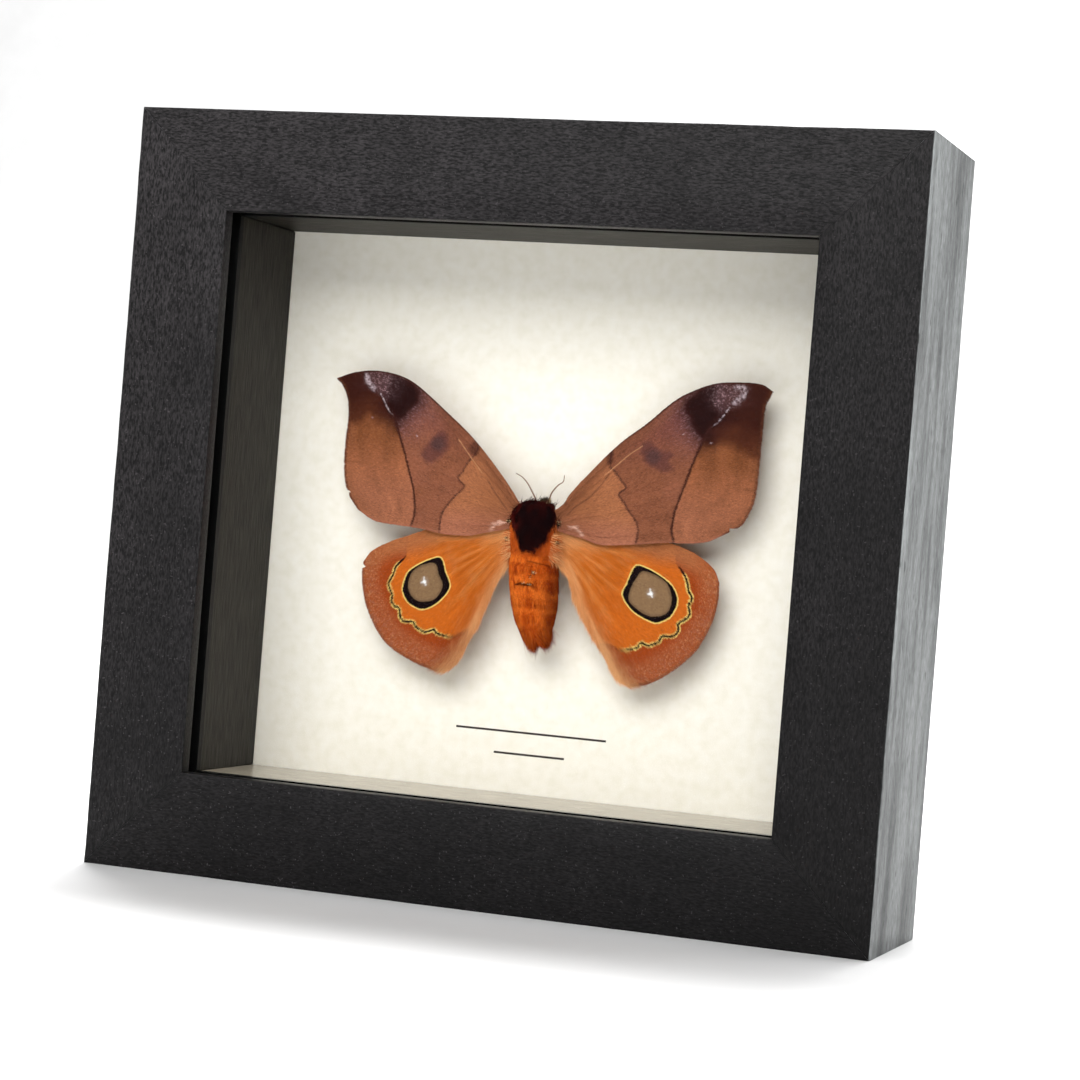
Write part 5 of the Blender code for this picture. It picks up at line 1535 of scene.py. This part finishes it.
def dress_case():
    # stain, grain, and the pale rubbed streaks with a painted sheen on the outer sides
    tones = [srgb(*tone) for tone in ((3, 3, 3), (34, 32, 33), (134, 137, 137))]
    across = wood("black_wood_across", 0, *tones, 0.38, 0.14)
    up = wood("black_wood_up", 2, *tones, 0.38, 0.14)
    for quarters, name in enumerate(("rail_top", "stile_right", "rail_bottom", "stile_left")):
        half, edge, stain = CASE_W / 2, CASE_H / 2, across
        if quarters % 2:
            half, edge, stain = edge, half, up
        make_rail("case_" + name, name, quarters * math.pi / 2, half, edge, stain)
    tones = [srgb(20, 18, 15), srgb(50, 46, 39)]
    dress(spacer_stain("spacer_top", 0, 0.5, 0.15, tones), "spacer_top")
    dress(spacer_stain("spacer_up", 2, 0.5, 0.15, tones), "spacer_left", "spacer_right")
    # painted light: the bottom spacer is the same black-stained wood, painted pale as its face is lit and
    # mirrors the paper
    tones = [srgb(146, 138, 122), srgb(212, 204, 186)]
    dress(spacer_stain("spacer_bottom", 0, 0.2, 0.8, tones), "spacer_bottom")
    dress(pane_glass(), "glass_pane")
    dress(paper(), "backing_paper")
    dress(speckled("hardboard", 0.8, 0.3, 1300.0, srgb(108, 80, 55), srgb(136, 104, 73), 0.00004),
          "backing_board")
    dress(speckled("zinc_plate", 0.36, 0.5, 300.0, (0.42, 0.42, 0.43), (0.62, 0.62, 0.62), 0.00002, 1.0),
          "hanger")
    dress(speckled("dense_foam", 0.9, 0.3, 2500.0, (0.62, 0.61, 0.57), (0.85, 0.84, 0.8), 0.0001),
          "mount_block")
    make_rules(speckled("ink", 0.7, 0.3, 3000.0, srgb(30, 27, 26), srgb(70, 62, 58), 0.00001))


# The studio


def make_camera():
    camera = bpy.data.objects.new("camera", bpy.data.cameras.new("camera"))
    bpy.context.scene.collection.objects.link(camera)
    camera.data.sensor_width = 36.0
    camera.data.lens = CAMERA_LENS
    turn = (Matrix.Rotation(math.radians(CAMERA_YAW), 4, "Z")
            @ Matrix.Rotation(math.radians(90.0 + CAMERA_PITCH), 4, "X")
            @ Matrix.Rotation(math.radians(CAMERA_ROLL), 4, "Z"))
    camera.matrix_world = Matrix.Translation(CAMERA_AT) @ turn
    bpy.context.scene.camera = camera


def make_floor():
    """A pale floor that curves up into a backdrop."""
    floor_start, wall, radius = -2.5, 2.2, 0.8
    turn = np.linspace(0.0, math.pi / 2, 14)
    line = [(floor_start, 0.0), (wall - radius, 0.0)]
    line += [(wall - radius + radius * math.sin(a), radius - radius * math.cos(a)) for a in turn[1:]]
    line += [(wall, 3.5)]
    points = [(x, y, z) for x in (-3.0, 3.0) for y, z in line]
    count = len(line)
    faces = [(i, i + count, i + count + 1, i + 1) for i in range(count - 1)]
    mesh = bpy.data.meshes.new("floor")
    mesh.from_pydata(points, [], faces)
    mesh.shade_smooth()
    material, tree, shader = new_material("pale_floor", 0.75, 0.3)
    noise = object_noise(tree, (30.0,) * 3)
    tree.links.new(ramp(tree, noise, ((0.3, (0.60, 0.60, 0.60)), (0.7, (0.63, 0.63, 0.63)))),
                   shader.inputs["Base Color"])
    mesh.materials.append(material)
    floor = bpy.data.objects.new("floor", mesh)
    bpy.context.scene.collection.objects.link(floor)


def area_light(name, at, aim, size, power):
    light = bpy.data.lights.new(name, "AREA")
    light.shape = "RECTANGLE"
    light.size, light.size_y = size
    light.energy = power
    lamp = bpy.data.objects.new(name, light)
    bpy.context.scene.collection.objects.link(lamp)
    away_from = Matrix.Translation(at).translation - Matrix.Translation(aim).translation
    lamp.matrix_world = Matrix.Translation(at) @ away_from.to_track_quat("Z", "Y").to_matrix().to_4x4()


# Lamps: name, where it stands, where it points, size and power
LAMPS = (
    ("key", (-0.03, -1.12, 0.82), (0.0, 0.0, 0.08), (1.2, 0.8), 17.5),
    ("overhead", (-0.12, 0.42, 1.15), (0.0, 0.0, 0.0), (0.6, 0.4), 27.0),
    ("backdrop", (0.0, 0.9, 2.2), (0.3, 2.2, 0.4), (2.5, 0.5), 95.0),
)


def make_light():
    scene = bpy.context.scene
    scene.view_settings.view_transform = "Standard"
    world = bpy.data.worlds.new("studio")
    world.use_nodes = True
    sky = world.node_tree.nodes["Background"]
    sky.inputs["Color"].default_value = (1.0, 1.0, 1.0, 1.0)
    sky.inputs["Strength"].default_value = 0.39
    scene.world = world
    for lamp in LAMPS:
        area_light(*lamp)


def main():
    make_camera()
    make_floor()
    make_light()
    dress_case()
    materials = {
        "wing": painted("wing_membrane", 0.7, 0.06, 9000.0, 0.00003, 0.08),
        "scale": painted("wing_scales", 0.65, 0.05, 5000.0, 0.0, 0.08),
        "fur": painted("fur", 0.7, 0.03, 4000.0, 0.0, 0.07),
        "skin": painted("skin", 0.8, 0.03, 6000.0, 0.00004, 0.2),
        "chitin": painted("chitin", 0.45, 0.4, 7000.0, 0.00002, 0.12),
    }
    dress_fore_wing("moth_forewing_left", "forewing_left", FORE_LEFT, materials, 11)
    dress_fore_wing("moth_forewing_right", "forewing_right", FORE_RIGHT, materials, 21)
    dress_hind_wing("moth_hindwing_left", "hindwing_left", HIND_LEFT, materials, 31)
    dress_hind_wing("moth_hindwing_right", "hindwing_right", HIND_RIGHT, materials, 41)
    thorax = ring_sheet(thorax_rings, np.concatenate([
        THORAX_TOP - 0.02 - 5.0 * (1.0 - np.cos(np.linspace(0.05, 1.0, 30) * math.pi / 2)),
        np.linspace(-2.2, THORAX_END - 0.6, 36)]), 97)
    abdomen = ring_sheet(abdomen_rings, np.concatenate([
        np.linspace(THORAX_END + 0.8, -23.4, 90), np.linspace(-23.5, ABDOMEN_END + 0.02, 16)]), 97)
    head = ring_sheet(head_rings, HEAD[2] + HEAD_R[2] * np.cos(np.linspace(0.05, math.pi - 0.05, 30)), 49)
    skins = [ring_sheet(rings, sheet.points[:, 0, 2], columns, SKIN_SHARE) for rings, sheet, columns in
             ((thorax_rings, thorax, 65), (abdomen_rings, abdomen, 65), (head_rings, head, 49))]
    body_skin(skins, materials["skin"])
    thorax_coat(thorax, materials)
    abdomen_coat(abdomen, materials)
    head_coat(head, materials)
    shoulder_tufts(materials)
    make_eyes(compound_eye())
    make_feelers(materials)
    make_legs(materials)
    loose_scraps(materials)


main()
